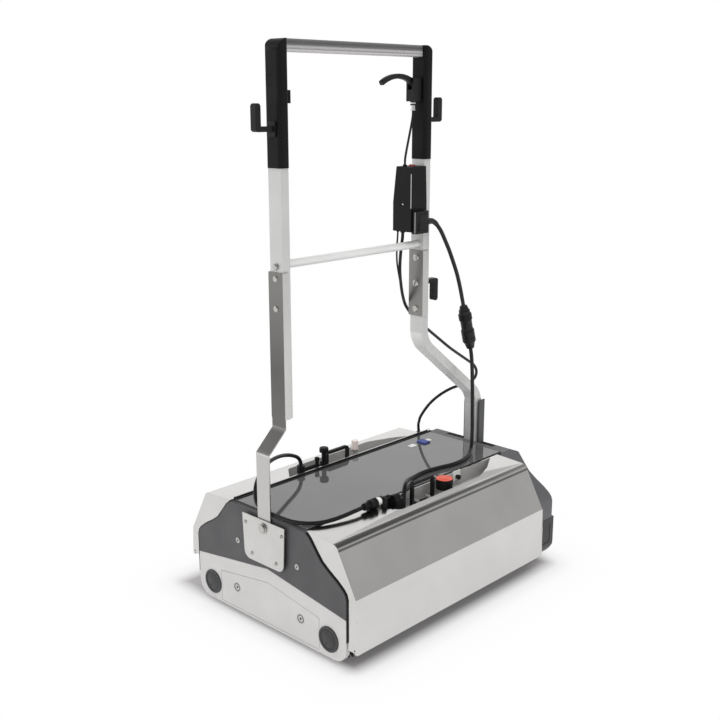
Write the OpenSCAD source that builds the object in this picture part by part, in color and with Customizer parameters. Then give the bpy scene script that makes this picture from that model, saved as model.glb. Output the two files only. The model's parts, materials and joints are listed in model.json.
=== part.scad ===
// Floor scrubber with two counter-rotating cylindrical brushes, a pick-up drum
// between them, two lift-off clean water tanks and a tilting handle.
// X runs along the brushes, Y across the machine from the front tank (-Y) to the
// rear tank (+Y), Z is up and z = 0 is the floor.

/* [Machine] */
// Length over both end covers
machine_len = 702; // [640:1:800]
// Width over the end covers
cover_w = 452; // [440:1:470]
// Height of the end covers' top edge
top_z = 255; // [250:1:275]
// Height of the end covers' lower edge above the floor
cover_base = 11; // [6:1:20]
// Half width of the flat top between the two tanks
top_half = 114; // [108:1:120]
// Height where the shoulder of the end covers begins
shoulder_z = 148; // [140:1:160]
// Wall of the moulded covers
cover_wall = 2.5; // [2:0.1:4]
// Depth of the left end covers
cover_depth = 11; // [9:0.5:16]
// Depth of the drive housing at the right end, over its lower cover
housing_depth = 84; // [82:1:110]
// How far the lower right cover stands proud of the drive housing
lower_proud = 9; // [3:1:14]
// Sheet of the two inner frame plates
plate_t = 3; // [2:0.5:5]
// Height of the roof line between upper and lower covers, at its middle
roof_mid_z = 138.8; // [130:0.2:145]
// Height of that roof line at the sides
roof_side_z = 106.5; // [95:0.5:115]
// Radius of the lower corners of the end covers
corner_r = 32; // [20:1:40]

/* [Brushes and drum] */
// Radius of a brush over its bristles
brush_r = 51; // [48:0.5:54]
// Distance of each brush axle from the middle
brush_y = 179; // [176:0.5:182]
// Radius of a brush core
core_r = 24; // [18:1:28]
// Thickness of the sleeve that holds the bristles
sleeve_t = 3; // [2:0.5:5]
// Rows of bristles round a brush
bristle_rows = 8; // [6:1:9]
// Bristles in each row
bristles_per_row = 28; // [20:1:28]
// Radius of the brush axles
axle_r = 8; // [6:0.5:10]
// Radius of the pick-up drum over its ribs
drum_r = 66; // [60:1:68]
// Height of the drum's axle
drum_z = 80; // [78:1:84]
// Height of a rib on the drum
drum_rib = 3; // [2:0.5:5]

/* [Drive] */
// Radius of the motor
motor_r = 42; // [36:1:44]
// Length of the motor
motor_len = 100; // [80:1:120]
// Height of the motor shaft and the layshaft
shaft_z = 196; // [192:1:198]
// Teeth on each of the two drive gears
gear_teeth = 20; // [16:2:24]
// Module of the drive gears
gear_m = 2; // [1.5:0.25:2.2]
// Radius of the belt pulleys on the motor shaft and layshaft
small_pulley_r = 12; // [10:0.5:13]
// Radius of the brush pulleys
brush_pulley_r = 24; // [20:1:28]
// Radius of the drum pulley
drum_pulley_r = 30; // [26:1:34]
// Thickness of the belts
belt_t = 3; // [2:0.5:4]

/* [Tanks] */
// Width over the two tanks
tank_w = 506; // [490:1:530]
// Sheet of the tanks
tank_wall = 2; // [1.5:0.1:3]
// Height of the front tank's lower hem above the floor
hem_z = 42; // [30:1:60]
// Height of the rear tank's lower hem above the floor
rear_hem_z = 92; // [80:1:104]
// Height of the crease in a tank's outer wall
crease_z = 154; // [140:1:165]
// Depth of the hand recess in a tank's top
recess_depth = 31; // [20:1:36]
// Width of that recess, across the machine
recess_w = 56; // [46:1:60]
// Lifting handle's outer width
bail_w = 74; // [60:1:84]
// Lifting handle's height above its pivot
bail_h = 51.5; // [40:0.5:60]
// Bar of the lifting handle
bail_bar = 7; // [5:0.5:7]
// Radius of the front filler cap
cap_r = 20; // [16:1:22]

/* [Handle] */
// Height over the top bar
handle_h = 1176; // [900:1:1250]
// Height of the handle's pivot
pivot_z = 230.5; // [226:0.5:234]
// Radius of the left pivot bolt
pivot_r = 6; // [5:0.5:8]
// Radius of the right pivot pin
pin_r = 7; // [5:0.5:8]
// Width of the flat tubes, along the machine
tube_x = 20; // [16:1:24]
// Depth of the flat tubes, across the machine
tube_y = 35; // [30:1:40]
// Wall of the tubes
tube_wall = 2.5; // [2:0.1:3.5]
// Sheet of the steel strut and channels
strut_t = 3; // [2:0.5:4]
// Height where the tubes leave the corner grips, on a handle 1176 high
grip_z = 942; // [820:1:1000]
// Wall of the corner grips over the tubes
grip_wall = 3; // [2:0.5:4]
// Height of the cross bar, on a handle 1176 high
cross_z = 758; // [700:1:775]
// Radius of the cross bar
cross_r = 8.5; // [6:0.5:11]
// Section of the top bar
top_bar = 24; // [20:1:28]
// Length of the arm of a cable hook
hook_arm = 46; // [30:1:48]
// Height of the switch box, on a handle 1176 high
box_h = 138; // [110:1:150]
// Depth of the switch box, across the machine
box_y = 52; // [40:1:60]

/* [Hidden] */
$fn = 64;

// Colours
STEEL = "#c9c8c6";
DARK = "#4a494b";
BLACK = "#232325";
WHITE = "#dedcda";
GREY = "#8f8e8f";
ALU = "#d6d5d3";
ORANGE = "#e0553a";

// Heights on the handle stretch with it, from a base just over the machine
handle_ref = 1176;
handle_base = 300;
stretch = (handle_h - handle_base) / (handle_ref - handle_base);
function up(z) = z <= handle_base ? z : handle_base + (z - handle_base) * stretch;

// Stations along the machine
pivot_stack = 14;
left_x = -(machine_len - pivot_stack) / 2;
right_x = left_x + machine_len;
left_plate_x = left_x + cover_depth;
housing_x = right_x - housing_depth;
housing_end = right_x - lower_proud;
right_plate_x = housing_x;
inner_x0 = left_plate_x + plate_t;
inner_x1 = right_plate_x;
tank_x0 = left_x + 3;
tank_x1 = housing_x - 1;
lid_x1 = housing_x + 17;
half_w = cover_w / 2;
run = 0.05;
gap = 0.3;

// Brushes, drum and drive
brush_z = brush_r - 0.5;
gear_r = gear_teeth * gear_m / 2;
gear_x = right_plate_x + plate_t + 2;
gear_w = 8;
drum_belt_x = gear_x + gear_w + 3;
drum_belt_w = 7;
brush_belt_x = drum_belt_x + drum_belt_w + 3;
brush_belt_w = 9;
shaft_end_x = brush_belt_x + brush_belt_w + 2;
shaft_r = 5;
bearing_r = 17;
hood_r = brush_r + 7;
hood_t = 2;
hood_top = brush_z + hood_r + hood_t;
motor_x = inner_x1 - motor_len - 0.5;
rod_r = 6;
rec_z = 150;

// Tanks
tank_floor = hood_top + 0.4;
tank_in = top_half + 2;
tank_out = tank_w / 2;
recess_z = top_z - recess_depth;
bail_y = tank_in + 19;
bail_z = recess_z + 6;
bail_pin_r = 3.5;
front_bail_x = -18.5;
rear_bail_x = -8;
ear_w = 6;
ear_x = bail_w / 2 - 18;
front_cap_x = 46;
rear_cap_x = 60;
cap_y = tank_in + 27;
cap_neck_r = cap_r - 6;
vent_r = 5.5;
fit_y = tank_in + 9.5;
hose_y = tank_in + 14;
elbow_y = tank_in + 20;
recess_y = tank_in + recess_w;
function across(y) = y * fit_y / 125.5;
lid_top = top_z + 2;
lid_t = 4;

// Handle
tube_xl = left_x + 42.5;
web_x = tube_xl - strut_t;
right_tube_x = 111;
right_mid_x = right_tube_x + tube_x / 2;
leg_x = housing_x + 54;
leg_slope = 0.794 * stretch;
bend_r = 60;
leg_bend_z = up(373);
arm_bend_z = leg_bend_z + (leg_x - right_mid_x) * leg_slope;
channel_z0 = up(451);
strut_top_z = up(745);
fork_top_z = up(358);
grip_at = up(grip_z);
cross_at = up(cross_z);
fork_gap = 2.5;
fork_t = 3.5;
bar_x = left_x - 5;
bracket_t = 2.5;
bracket_x = left_x - 8.5;
grip_x = tube_x + 2 * grip_wall;
grip_y = tube_y + 2 * grip_wall;
box_z = grip_at - 14 - box_h * stretch;
box_x0 = right_tube_x - 51;
box_x1 = right_tube_x - 0.5;
lever_x = right_tube_x - grip_wall - 14;
lever_z = handle_h - 74;
lever_pin_r = 2.5;
cord_d = 9;
hose_d = 8.5;
cable_d = 7;
thin_d = 4;
lever_cable_d = 5;

// Routes of the cords, from end to end
upper_points = [[112.6, -34.5, 811], [119, -34.7, 810.6], [130, -36.5, 804.5], [143, -40, 788],
    [156, -42, 766], [169, -44, 742], [182, -45, 716], [195, -46, 688], [206, -46, 660],
    [214.5, -46, 634], [221.4, -46, 611.6]];
hanging_points = [[252.1, -46, 506.1], [257, -46, 484], [261, -46, 450], [264, -46, 400],
    [266, -46, 350], [266, -47, 315], [262, -50, 292], [252, -57, 273],
    [240.5, -63.7, 265.1], [228.4, -70.8, 263.05]];
lid_points = [[228, -71, 263], [217, -77.5, 262], [203, -84, 262], [185, -90, 262],
    [158, -95, 262], [127, -93, 262], [98, -86, 262], [67, -81, 262], [38, -80, 262],
    [10, -85, 262.4], [-8, -90.5, 265.2], [-25, -98.8, 268.4], [-41.6, -108.6, 270.2],
    [-49.7, -113.8, 269.2], [-57.3, -118.7, 265.8], [-63.9, -123.1, 260],
    [-68.8, -126.6, 252.2], [-72, -128.6, 243.2]];
rear_hose_points = [[-131, 125.5, 274.8], [-132.6, 125.5, 284.5], [-141, 124.5, 295.5],
    [-159, 122, 305.5], [-182, 117, 313.5], [-208, 108, 320], [-238, 96, 324],
    [-268, 82, 324.5], [-294, 69, 319], [-313, 59, 309], [-325, 52, 297],
    [-333, 44, 284], [-338, 34, 272], [-340, 20, 264.5], [-340, 4, 262],
    [-340, -10, 262]];
front_hose_points = [[-340, -10, 262], [-340, -30, 262], [-340, -52, 262], [-336, -76, 262],
    [-324, -98, 262], [-305, -114, 262], [-280, -123, 262.5], [-250, -128, 264],
    [-220, -130, 266], [-196.3, -130, 266.3]];
bundle_points = [[80, 15, 784.6], [79, 15, 772], [75, 15, 750], [72, 15, 722], [73, 16, 698],
    [80, 19, 670], [92, 24, 642], [109, 30, 617], [132, 32, 593], [162, 32, 568],
    [197, 32, 543], [235, 32, 516], [272, 32, 490], [310, 32, 466], [344, 32, 445],
    [368, 32, 429], [382, 33, 411], [378, 35, 394], [361, 38, 385], [336, 44, 382],
    [305, 54, 376], [281, 68, 362], [268, 84, 343], [265, 102, 320], [268, 120, 296],
    [277, 132, 281], [286, 141, 270], [293, 145.3, 259.5], [296, 146, 249]];
thin_points = [[64, 15, 787.6], [63, 15, 775], [61, 15, 750], [62, 15, 722], [67, 15, 698],
    [76, 16, 670], [88, 20, 645], [99, 25, 628]];
lever_points = [[92, 0, 1043.9], [91.5, 0, 1032], [87, 0, 1013], [80, 0, 988], [73, 0, 963],
    [68.5, 0, 944], [68, 0, 932.1]];
function raised(p) = [for (q = p) [q[0], q[1], up(q[2])]];
function spread(p) = [for (q = p) [q[0], across(q[1]), q[2]]];
upper_route = raised(upper_points);
hanging_route = raised(hanging_points);
bundle_route = raised(bundle_points);
thin_route = raised(thin_points);
lid_route = spread(lid_points);
rear_hose_route = spread(rear_hose_points);
front_hose_route = spread(front_hose_points);
lever_low_z = grip_at - 9.9;
lever_high_z = lever_z - 58.1;
lever_route = [for (q = lever_points) [q[0], q[1],
    lever_low_z + (q[2] - 932.1) * (lever_high_z - lever_low_z) / (1043.9 - 932.1)]];

// Small helpers
function unit(v) = v / norm(v);
function arc(c, r, a0, a1, n = 6) =
    [for (i = [0:n]) let(a = a0 + (a1 - a0) * i / n) c + r * [cos(a), sin(a)]];
function flip(p) = [for (i = [len(p) - 1:-1:0]) [-p[i][0], p[i][1]]];
function inset(p, d) = let(n = len(p)) [for (i = [0:n - 1])
    let(a = p[(i + n - 1) % n], b = p[i], c = p[(i + 1) % n])
    let(u = unit(b - a), w = unit(c - b))
    let(nu = [-u[1], u[0]], nw = [-w[1], w[0]])
    b + d * (nu + nw) / (1 + nu * nw)];

// Extrudes a (y, z) outline along X
module along_x(x0, x1) {
    translate([x0, 0, 0]) rotate([90, 0, 90]) linear_extrude(x1 - x0) children();
}
// Extrudes an (x, z) outline along Y
module along_y(y0, y1) {
    translate([0, y1, 0]) rotate([90, 0, 0]) linear_extrude(y1 - y0) children();
}
module rod_x(x0, x1, y, z, r) {
    translate([x0, y, z]) rotate([0, 90, 0]) cylinder(h = x1 - x0, r = r);
}
module rod_y(y0, y1, x, z, r) {
    translate([x, y1, z]) rotate([90, 0, 0]) cylinder(h = y1 - y0, r = r);
}
module rod_z(z0, z1, x, y, r) {
    translate([x, y, z0]) cylinder(h = z1 - z0, r = r);
}
module block(x0, x1, y0, y1, z0, z1) {
    translate([x0, y0, z0]) cube([x1 - x0, y1 - y0, z1 - z0]);
}
module ring_x(x0, x1, y, z, r_out, r_in) {
    difference() {
        rod_x(x0, x1, y, z, r_out);
        rod_x(x0 - 1, x1 + 1, y, z, r_in);
    }
}
module both_sides() {
    children();
    mirror([0, 1, 0]) children();
}

// Outline of the end covers, seen along X
shoulder = [[0, 0], [0.027, 0.094], [0.089, 0.17], [0.232, 0.283], [0.429, 0.406],
    [0.607, 0.538], [0.714, 0.67], [0.804, 0.79], [0.893, 0.906], [1, 1]];
function shoulder_pts() = [for (s = shoulder)
    [half_w - (half_w - top_half) * s[0], shoulder_z + (top_z - 1 - shoulder_z) * s[1]]];
function low_corner() = arc([half_w - corner_r, cover_base + corner_r], corner_r, -90, 0);
side = concat(low_corner(), shoulder_pts());
contour = concat(side, flip(side));
roof = [[half_w, roof_side_z], [0, roof_mid_z], [-half_w, roof_side_z]];
lower_outline = concat(low_corner(), roof, flip(low_corner()));
upper_outline = concat([[-half_w, roof_side_z + 0.8], [0, roof_mid_z + 0.8],
    [half_w, roof_side_z + 0.8]], shoulder_pts(), flip(shoulder_pts()));

// A shallow cover: a face with a rim round it, open towards the frame plate
module cover_shell(outline, x0, x1) {
    difference() {
        along_x(x0, x1) polygon(outline);
        along_x(x0 + cover_wall, x1 + 1) polygon(inset(outline, cover_wall));
    }
}

// Left end: screws, caps and bracket
screw_r = 2.5;
upper_screws = [[-91, shoulder_z + 26], [91, shoulder_z + 26]];
panel_screws = [[-98.6, 63.9], [98.6, 63.9]];
bracket_screws = [[-55, pivot_z - 1.5], [55, pivot_z - 1.5], [-37, pivot_z - 65.5],
    [37, pivot_z - 65.5]];
panel_outline = [[-151, cover_base + 6], [151, cover_base + 6], [151, 85], [0, 108],
    [-151, 85]];
axle_cap_r = 26.6;

module screw_holes(x0, x1, r) {
    for (p = concat(upper_screws, bracket_screws)) rod_x(x0, x1, p[0], p[1], r);
}

module end_cover_upper() color(DARK) {
    difference() {
        union() {
            cover_shell(upper_outline, left_x, left_plate_x);
            for (p = upper_screws) rod_x(left_x + 1, left_plate_x, p[0], p[1], 7);
            for (p = bracket_screws) rod_x(left_x + 1, left_plate_x, p[0], p[1], 6);
            rod_x(left_x + 1, left_plate_x, 0, pivot_z, 12);
        }
        screw_holes(left_x - 1, left_plate_x + 1, screw_r + 0.2);
        rod_x(left_x - 1, left_plate_x + 1, 0, pivot_z, pivot_r + 0.3);
    }
}

module end_cover_lower() color(WHITE) {
    difference() {
        union() {
            cover_shell(lower_outline, left_x, left_plate_x);
            both_sides() rod_x(left_x + 1, left_plate_x, brush_y, brush_z, axle_cap_r);
        }
        along_x(left_x - 1, left_plate_x + 1) polygon(inset(panel_outline, -0.9));
        both_sides() rod_x(left_x - 1, left_plate_x + 1, brush_y, brush_z, axle_cap_r - 4);
    }
}

module access_panel() color(WHITE) {
    difference() {
        union() {
            cover_shell(panel_outline, left_x, left_plate_x);
            for (p = panel_screws) rod_x(left_x + 1, left_plate_x, p[0], p[1], 8);
        }
        for (p = panel_screws) rod_x(left_x - 1, left_plate_x + 1, p[0], p[1], screw_r + 0.2);
    }
}

module axle_caps() color(BLACK) both_sides() {
    difference() {
        union() {
            rod_x(left_x - 3, left_x, brush_y, brush_z, axle_cap_r);
            rod_x(left_x - 1, left_x + 5, brush_y, brush_z, axle_cap_r - 4.2);
        }
        rod_x(left_x - 4, left_x - 1, brush_y, brush_z, axle_cap_r - 6);
    }
    rod_x(left_x - 2.2, left_x, brush_y, brush_z, axle_cap_r - 15);
}

module countersunk(x, p, r) {
    rod_x(x - 1.5, x, p[0], p[1], r);
    rod_x(x - 1, left_plate_x + plate_t + 3, p[0], p[1], screw_r);
}

module end_screws() color(STEEL) {
    for (p = upper_screws) difference() {
        countersunk(left_x, p, 6);
        rod_x(left_x - 2, left_x - 0.5, p[0], p[1], 2);
    }
    for (p = panel_screws) difference() {
        countersunk(left_x, p, 8);
        rod_x(left_x - 2, left_x - 0.5, p[0], p[1], 2.5);
    }
    for (p = bracket_screws) {
        countersunk(bracket_x, p, 4.5);
        rod_x(bracket_x + bracket_t, left_x, p[0], p[1], 5);
    }
}

bracket_top = pivot_z + 17.5;
bracket_low = pivot_z - 79.5;
bracket_corner = arc([43, bracket_low + 17], 17, -90, -5);
bracket_outline = concat(bracket_corner, [[64, bracket_top]], [[-64, bracket_top]],
    flip(bracket_corner));

module pivot_bracket() color(STEEL) {
    difference() {
        along_x(bracket_x, bracket_x + bracket_t) polygon(bracket_outline);
        for (p = bracket_screws) rod_x(bracket_x - 1, left_x, p[0], p[1], screw_r + 0.2);
        rod_x(bracket_x - 1, left_x, 0, pivot_z, pivot_r + 0.3);
    }
}

module pivot_pins() color(STEEL) {
    rod_x(bracket_x - 2, bracket_x, 0, pivot_z, 12);
    rod_x(left_x - pivot_stack, bracket_x - 1.9, 0, pivot_z, 9);
    rod_x(bracket_x - 1, inner_x0 + 4, 0, pivot_z, pivot_r);
    rod_x(inner_x0, inner_x0 + 7, 0, pivot_z, 10);
    ring_x(bar_x + strut_t + 0.3, left_x, 0, pivot_z, 13, pivot_r + 0.2);
    rod_x(inner_x1, housing_end - cover_wall, 0, pivot_z, pin_r);
    ring_x(leg_x - tube_x / 2 - 3.3, leg_x - tube_x / 2 - 0.3, 0, pivot_z, 11, pin_r - 0.1);
}

// Frame
module plate(x0) {
    difference() {
        along_x(x0, x0 + plate_t) polygon(inset(contour, cover_wall + 0.3));
        both_sides() rod_x(x0 - 1, x0 + plate_t + 1, brush_y, brush_z, bearing_r + run);
        rod_x(x0 - 1, x0 + plate_t + 1, 0, drum_z, bearing_r + run);
        both_sides() block(x0 - 1, x0 + plate_t + 1, top_half - 2.4, top_half + 2, top_z - 8,
            top_z);
        children();
    }
    block(x0, x0 + plate_t, -top_half + 6, top_half - 6, top_z - 8, lid_top - lid_t - gap);
}

module frame_plates() color(GREY) {
    plate(left_plate_x) {
        for (p = concat(upper_screws, panel_screws, bracket_screws))
            rod_x(left_plate_x - 1, inner_x0 + 1, p[0], p[1], screw_r + run);
        rod_x(left_plate_x - 1, inner_x0 + 1, 0, pivot_z, pivot_r + run);
    }
    plate(right_plate_x) {
        rod_x(right_plate_x - 1, gear_x, -gear_r, shaft_z, shaft_r + 3);
        rod_x(right_plate_x - 1, gear_x, gear_r, shaft_z, shaft_r + 3 + run);
        rod_x(right_plate_x - 1, gear_x, 0, pivot_z, pin_r + run);
    }
}

rods = [[-92, rec_z - gap - rod_r], [92, rec_z - gap - rod_r], [-98, 36], [98, 36]];
module tie_rods() color(STEEL) {
    for (p = rods) rod_x(inner_x0, inner_x1, p[0], p[1], rod_r);
}

// Sheet arches over the brushes, with ledges that carry the tanks
module brush_hood_outline() {
    difference() {
        translate([brush_y, brush_z]) circle(hood_r + hood_t);
        translate([brush_y, brush_z]) circle(hood_r);
        translate([brush_y - hood_r - 5, brush_z - hood_r - 9]) square([2 * hood_r + 10, hood_r + 3]);
    }
    for (s = [-1, 1]) {
        edge = brush_y + s * (hood_r + hood_t / 2);
        translate([edge - hood_t / 2, brush_z]) square([hood_t, hood_r + hood_t]);
        translate([edge - 7 - s * 6, hood_top - hood_t]) square([14, hood_t]);
    }
}
module brush_hoods() color(GREY) {
    both_sides() along_x(inner_x0 + gap, inner_x1 - gap) brush_hood_outline();
}

// Brushes
module brush_core(side_sign) color(GREY) {
    y = side_sign * brush_y;
    ring_x(inner_x0 + 8, inner_x1 - 8, y, brush_z, core_r, core_r - 3);
    for (x = [inner_x0 + 8, inner_x1 - 14]) rod_x(x, x + 6, y, brush_z, core_r - 1);
    rod_x(left_plate_x - 3, shaft_end_x, y, brush_z, axle_r);
    rod_x(brush_belt_x - 1, brush_belt_x + brush_belt_w + 1, y, brush_z, brush_pulley_r);
}

strand_n = bristle_rows * bristles_per_row;
strand_pitch = (inner_x1 - inner_x0 - 36) / bristles_per_row;
function strand_root(i) = let(row = i % bristle_rows, k = floor(i / bristle_rows))
    [inner_x0 + 18 + (k + 0.5) * strand_pitch, 360 * (row / bristle_rows + k / 16)];
function strand_ring(i, r, w) = let(s = strand_root(i))
    [for (j = [0:2]) let(a = 120 * j) let(t = w * sin(a))
        [s[0] + w * cos(a), r * cos(s[1]) - t * sin(s[1]), r * sin(s[1]) + t * cos(s[1])]];
function strand_faces(i) = let(b = 6 * i) concat([[b, b + 2, b + 1], [b + 3, b + 4, b + 5]],
    [for (j = [0:2]) let(k = (j + 1) % 3)
        each [[b + j, b + k, b + 3 + k], [b + j, b + 3 + k, b + 3 + j]]]);
module strands() {
    polyhedron(
        points = [for (i = [0:strand_n - 1])
            each concat(strand_ring(i, core_r + 1, 2.4), strand_ring(i, brush_r, 1.3))],
        faces = [for (i = [0:strand_n - 1]) each strand_faces(i)]);
}
module bristles(side_sign) color(BLACK) {
    difference() {
        translate([0, side_sign * brush_y, brush_z]) union() {
            strands();
            translate([inner_x0 + 10, 0, 0]) rotate([0, 90, 0]) difference() {
                cylinder(h = inner_x1 - inner_x0 - 20, r = core_r + sleeve_t, $fn = 24);
                translate([0, 0, -1])
                    cylinder(h = inner_x1 - inner_x0, r = core_r / cos(7.5) + 0.05, $fn = 24);
            }
        }
        block(inner_x0, inner_x1, -tank_out, tank_out, -9, 0);
    }
}

drum_ribs = 24;
module pickup_drum() color(DARK) {
    ring_x(inner_x0 + 8, inner_x1 - 8, 0, drum_z, drum_r - drum_rib, drum_r - drum_rib - 3);
    for (x = [inner_x0 + 8, inner_x1 - 13]) rod_x(x, x + 5, 0, drum_z, drum_r - drum_rib - 1);
    for (i = [0:drum_ribs - 1]) translate([0, 0, drum_z])
        rotate([360 * (i + 0.5) / drum_ribs, 0, 0]) block(inner_x0 + 10, inner_x1 - 10, drum_r - drum_rib - 1, drum_r, -1, 1);
    rod_x(left_plate_x - 3, drum_belt_x + drum_belt_w + 1, 0, drum_z, axle_r);
    rod_x(drum_belt_x - 1, drum_belt_x + drum_belt_w + 1, 0, drum_z, drum_pulley_r);
}

module bearing(x0, y, z, r_out, r_in) {
    ring_x(x0 - 3, x0 + plate_t + 3, y, z, r_out, r_in + run);
}
module shaft_bearings() color(STEEL) {
    for (x = [left_plate_x, right_plate_x]) {
        both_sides() bearing(x, brush_y, brush_z, bearing_r, axle_r);
        bearing(x, 0, drum_z, bearing_r, axle_r);
    }
    ring_x(right_plate_x - 4, right_plate_x + plate_t + 1, gear_r, shaft_z, shaft_r + 3,
        shaft_r + run);
}

// Drive
module motor() color(GREY) {
    difference() {
        union() {
            rod_x(motor_x, inner_x1 - 6, -gear_r, shaft_z, motor_r);
            along_x(inner_x1 - 6, inner_x1) translate([-gear_r, shaft_z])
                square(2 * motor_r - 8, center = true);
            block(motor_x + 22, motor_x + 70, motor_r - gear_r - 6, motor_r - gear_r + 16,
                shaft_z + 2, shaft_z + 38);
        }
        rod_x(inner_x1 - 30, inner_x1 + 1, -gear_r, shaft_z, shaft_r + 2);
        rod_x(inner_x1 - 5.6, inner_x1 + 1, gear_r, shaft_z, shaft_r + 4);
        for (i = [0:4]) ring_x(motor_x + 12 + 14 * i, motor_x + 16 + 14 * i, -gear_r, shaft_z,
            motor_r + 1, motor_r - 1.5);
    }
}

function tooth(i, n, m) = let(a = 360 * i / n, p = 360 / n)
    [for (q = [[-0.31, -1.25], [-0.2, 0], [-0.11, 0.85], [0.11, 0.85], [0.2, 0], [0.31, -1.25]])
        let(r = n * m / 2 + q[1] * m) r * [cos(a + p * q[0]), sin(a + p * q[0])]];
module gear(turn) {
    rotate(turn) polygon([for (i = [0:gear_teeth - 1]) each tooth(i, gear_teeth, gear_m)]);
}

module drive_shaft(y, x0, turn) {
    rod_x(x0, shaft_end_x, y, shaft_z, shaft_r);
    along_x(gear_x, gear_x + gear_w) translate([y, shaft_z]) gear(turn);
    rod_x(brush_belt_x - 1, brush_belt_x + brush_belt_w + 1, y, shaft_z, small_pulley_r);
}
module motor_pinion() color(STEEL) {
    drive_shaft(-gear_r, inner_x1 - 28, 0);
    rod_x(drum_belt_x - 1, drum_belt_x + drum_belt_w + 1, -gear_r, shaft_z, small_pulley_r);
}
module layshaft() color(STEEL) drive_shaft(gear_r, inner_x1 - 5, 180 / gear_teeth);

// An open belt round two pulleys
module belt_side(c1, r1, c2, r2) {
    d = c2 - c1;
    turn = atan2(d[1], d[0]);
    lean = acos((r1 - r2) / norm(d));
    n1 = [cos(turn + lean), sin(turn + lean)];
    n2 = [cos(turn - lean), sin(turn - lean)];
    translate(c1) circle(r1);
    translate(c2) circle(r2);
    polygon([c1 + r1 * n1, c1 + r1 * n2, c2 + r2 * n2, c2 + r2 * n1]);
}
module belt(x0, w, c1, r1, c2, r2) {
    along_x(x0, x0 + w) difference() {
        belt_side(c1, r1 + gap + belt_t, c2, r2 + gap + belt_t);
        belt_side(c1, r1 + gap, c2, r2 + gap);
    }
}
module drive_belts() color(BLACK) {
    for (s = [-1, 1]) belt(brush_belt_x, brush_belt_w, [s * gear_r, shaft_z], small_pulley_r,
        [s * brush_y, brush_z], brush_pulley_r);
    belt(drum_belt_x, drum_belt_w, [-gear_r, shaft_z], small_pulley_r, [0, drum_z],
        drum_pulley_r);
}

// Drive housing at the right end, with a sloping top edge and a slot for the handle's leg
slot_half = 72;
slot_x0 = leg_x - tube_x / 2 - 3;
slot_x1 = leg_x + tube_x / 2 + 9;
module top_edge_cut(x1) {
    along_y(-half_w, half_w) polygon([[x1 - 24, top_z + 1], [x1 + 1, top_z - 9.4],
        [x1 + 1, top_z + 1]]);
}
module drive_housing() color(DARK) {
    difference() {
        union() {
            difference() {
                along_x(housing_x, housing_end) polygon(upper_outline);
                along_x(housing_x - 1, housing_end - cover_wall)
                    polygon(inset(contour, cover_wall));
                block(housing_x - 1, lid_x1 + 1, -top_half - 2, top_half + 2, top_z - 8,
                    top_z + 1);
            }
            intersection() {
                along_x(housing_end - 30, housing_end)
                    polygon(inset(upper_outline, cover_wall - 0.5));
                along_y(-top_half, top_half) polygon([[housing_end - 26, top_z - 1],
                    [housing_end - 1, top_z - 12], [housing_end - 1, top_z - 16],
                    [housing_end - 26, top_z - 5]]);
            }
            rod_x(fork_x1 + gap, housing_end - 1, 0, pivot_z, 12);
            rod_z(top_z - 50, top_z - 24, gland_x, gland_y, 9);
        }
        top_edge_cut(housing_end);
        block(slot_x0, slot_x1, -slot_half, slot_half, pivot_z + 8, top_z + 1);
        rod_x(housing_end - 20, housing_end - cover_wall + gap, 0, pivot_z, pin_r + run);
        rod_z(top_z - 52, top_z, gland_x, gland_y, 6);
    }
}

module drive_lower_cover() color(BLACK) {
    difference() {
        along_x(housing_x, right_x) polygon(lower_outline);
        along_x(housing_x - 1, right_x - cover_wall - 3.5) polygon(inset(contour, cover_wall));
        for (s = [-1, 1]) along_y(s * half_w - 1, s * half_w + 1)
            polygon([[housing_x + 14, 45], [right_x - 14, 45], [right_x - 14, 92],
                [housing_x + 14, 92]]);
        along_y(-half_w - 1, half_w + 1) polygon([[right_x - 16, cover_base - 1],
            [right_x + 1, cover_base - 1], [right_x + 1, cover_base + 26]]);
    }
}
gland_x = housing_x + 22;
gland_y = 146;
module cable_glands() color(BLACK) {
    difference() {
        union() {
            rod_z(top_z - 34, top_z - 7, gland_x, gland_y, 5.9);
            rod_z(top_z - 23.7, top_z - 16, gland_x, gland_y, 9);
        }
        rod_z(top_z - 40, top_z - 12, gland_x, gland_y, 3.7);
    }
}

// Smoked lid over the recovery tank, with the seals along its edges
module smoked_lid() color("#6f7072", 0.6)
    block(left_plate_x + 0.5, lid_x1, -top_half + 2.4, top_half - 2.4, lid_top - lid_t, lid_top);

module contour_seal(x0, x1) {
    rim = concat([[half_w, 60]], shoulder_pts());
    outer = inset(contour, -2.6);
    difference() {
        along_x(x0, x1) polygon(outer);
        along_x(x0 - 1, x1 + 1) polygon(contour);
        block(x0 - 1, x1 + 1, -top_half - 2.2, top_half + 2.2, top_z - 8, top_z + 9);
        block(x0 - 1, x1 + 1, -tank_out, tank_out, -1, rim[0][1]);
    }
}

module edge_seals() color(BLACK) {
    block(left_plate_x + 0.5, lid_x1, -top_half - 1.6, -top_half + 2.1, top_z - 7, lid_top + 0.4);
    block(left_plate_x + 0.5, lid_x1, top_half - 2.1, top_half + 1.6, top_z - 7, lid_top + 3.4);
    contour_seal(left_x, left_plate_x - 1);
    contour_seal(housing_x, housing_x + 10);
}

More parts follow.
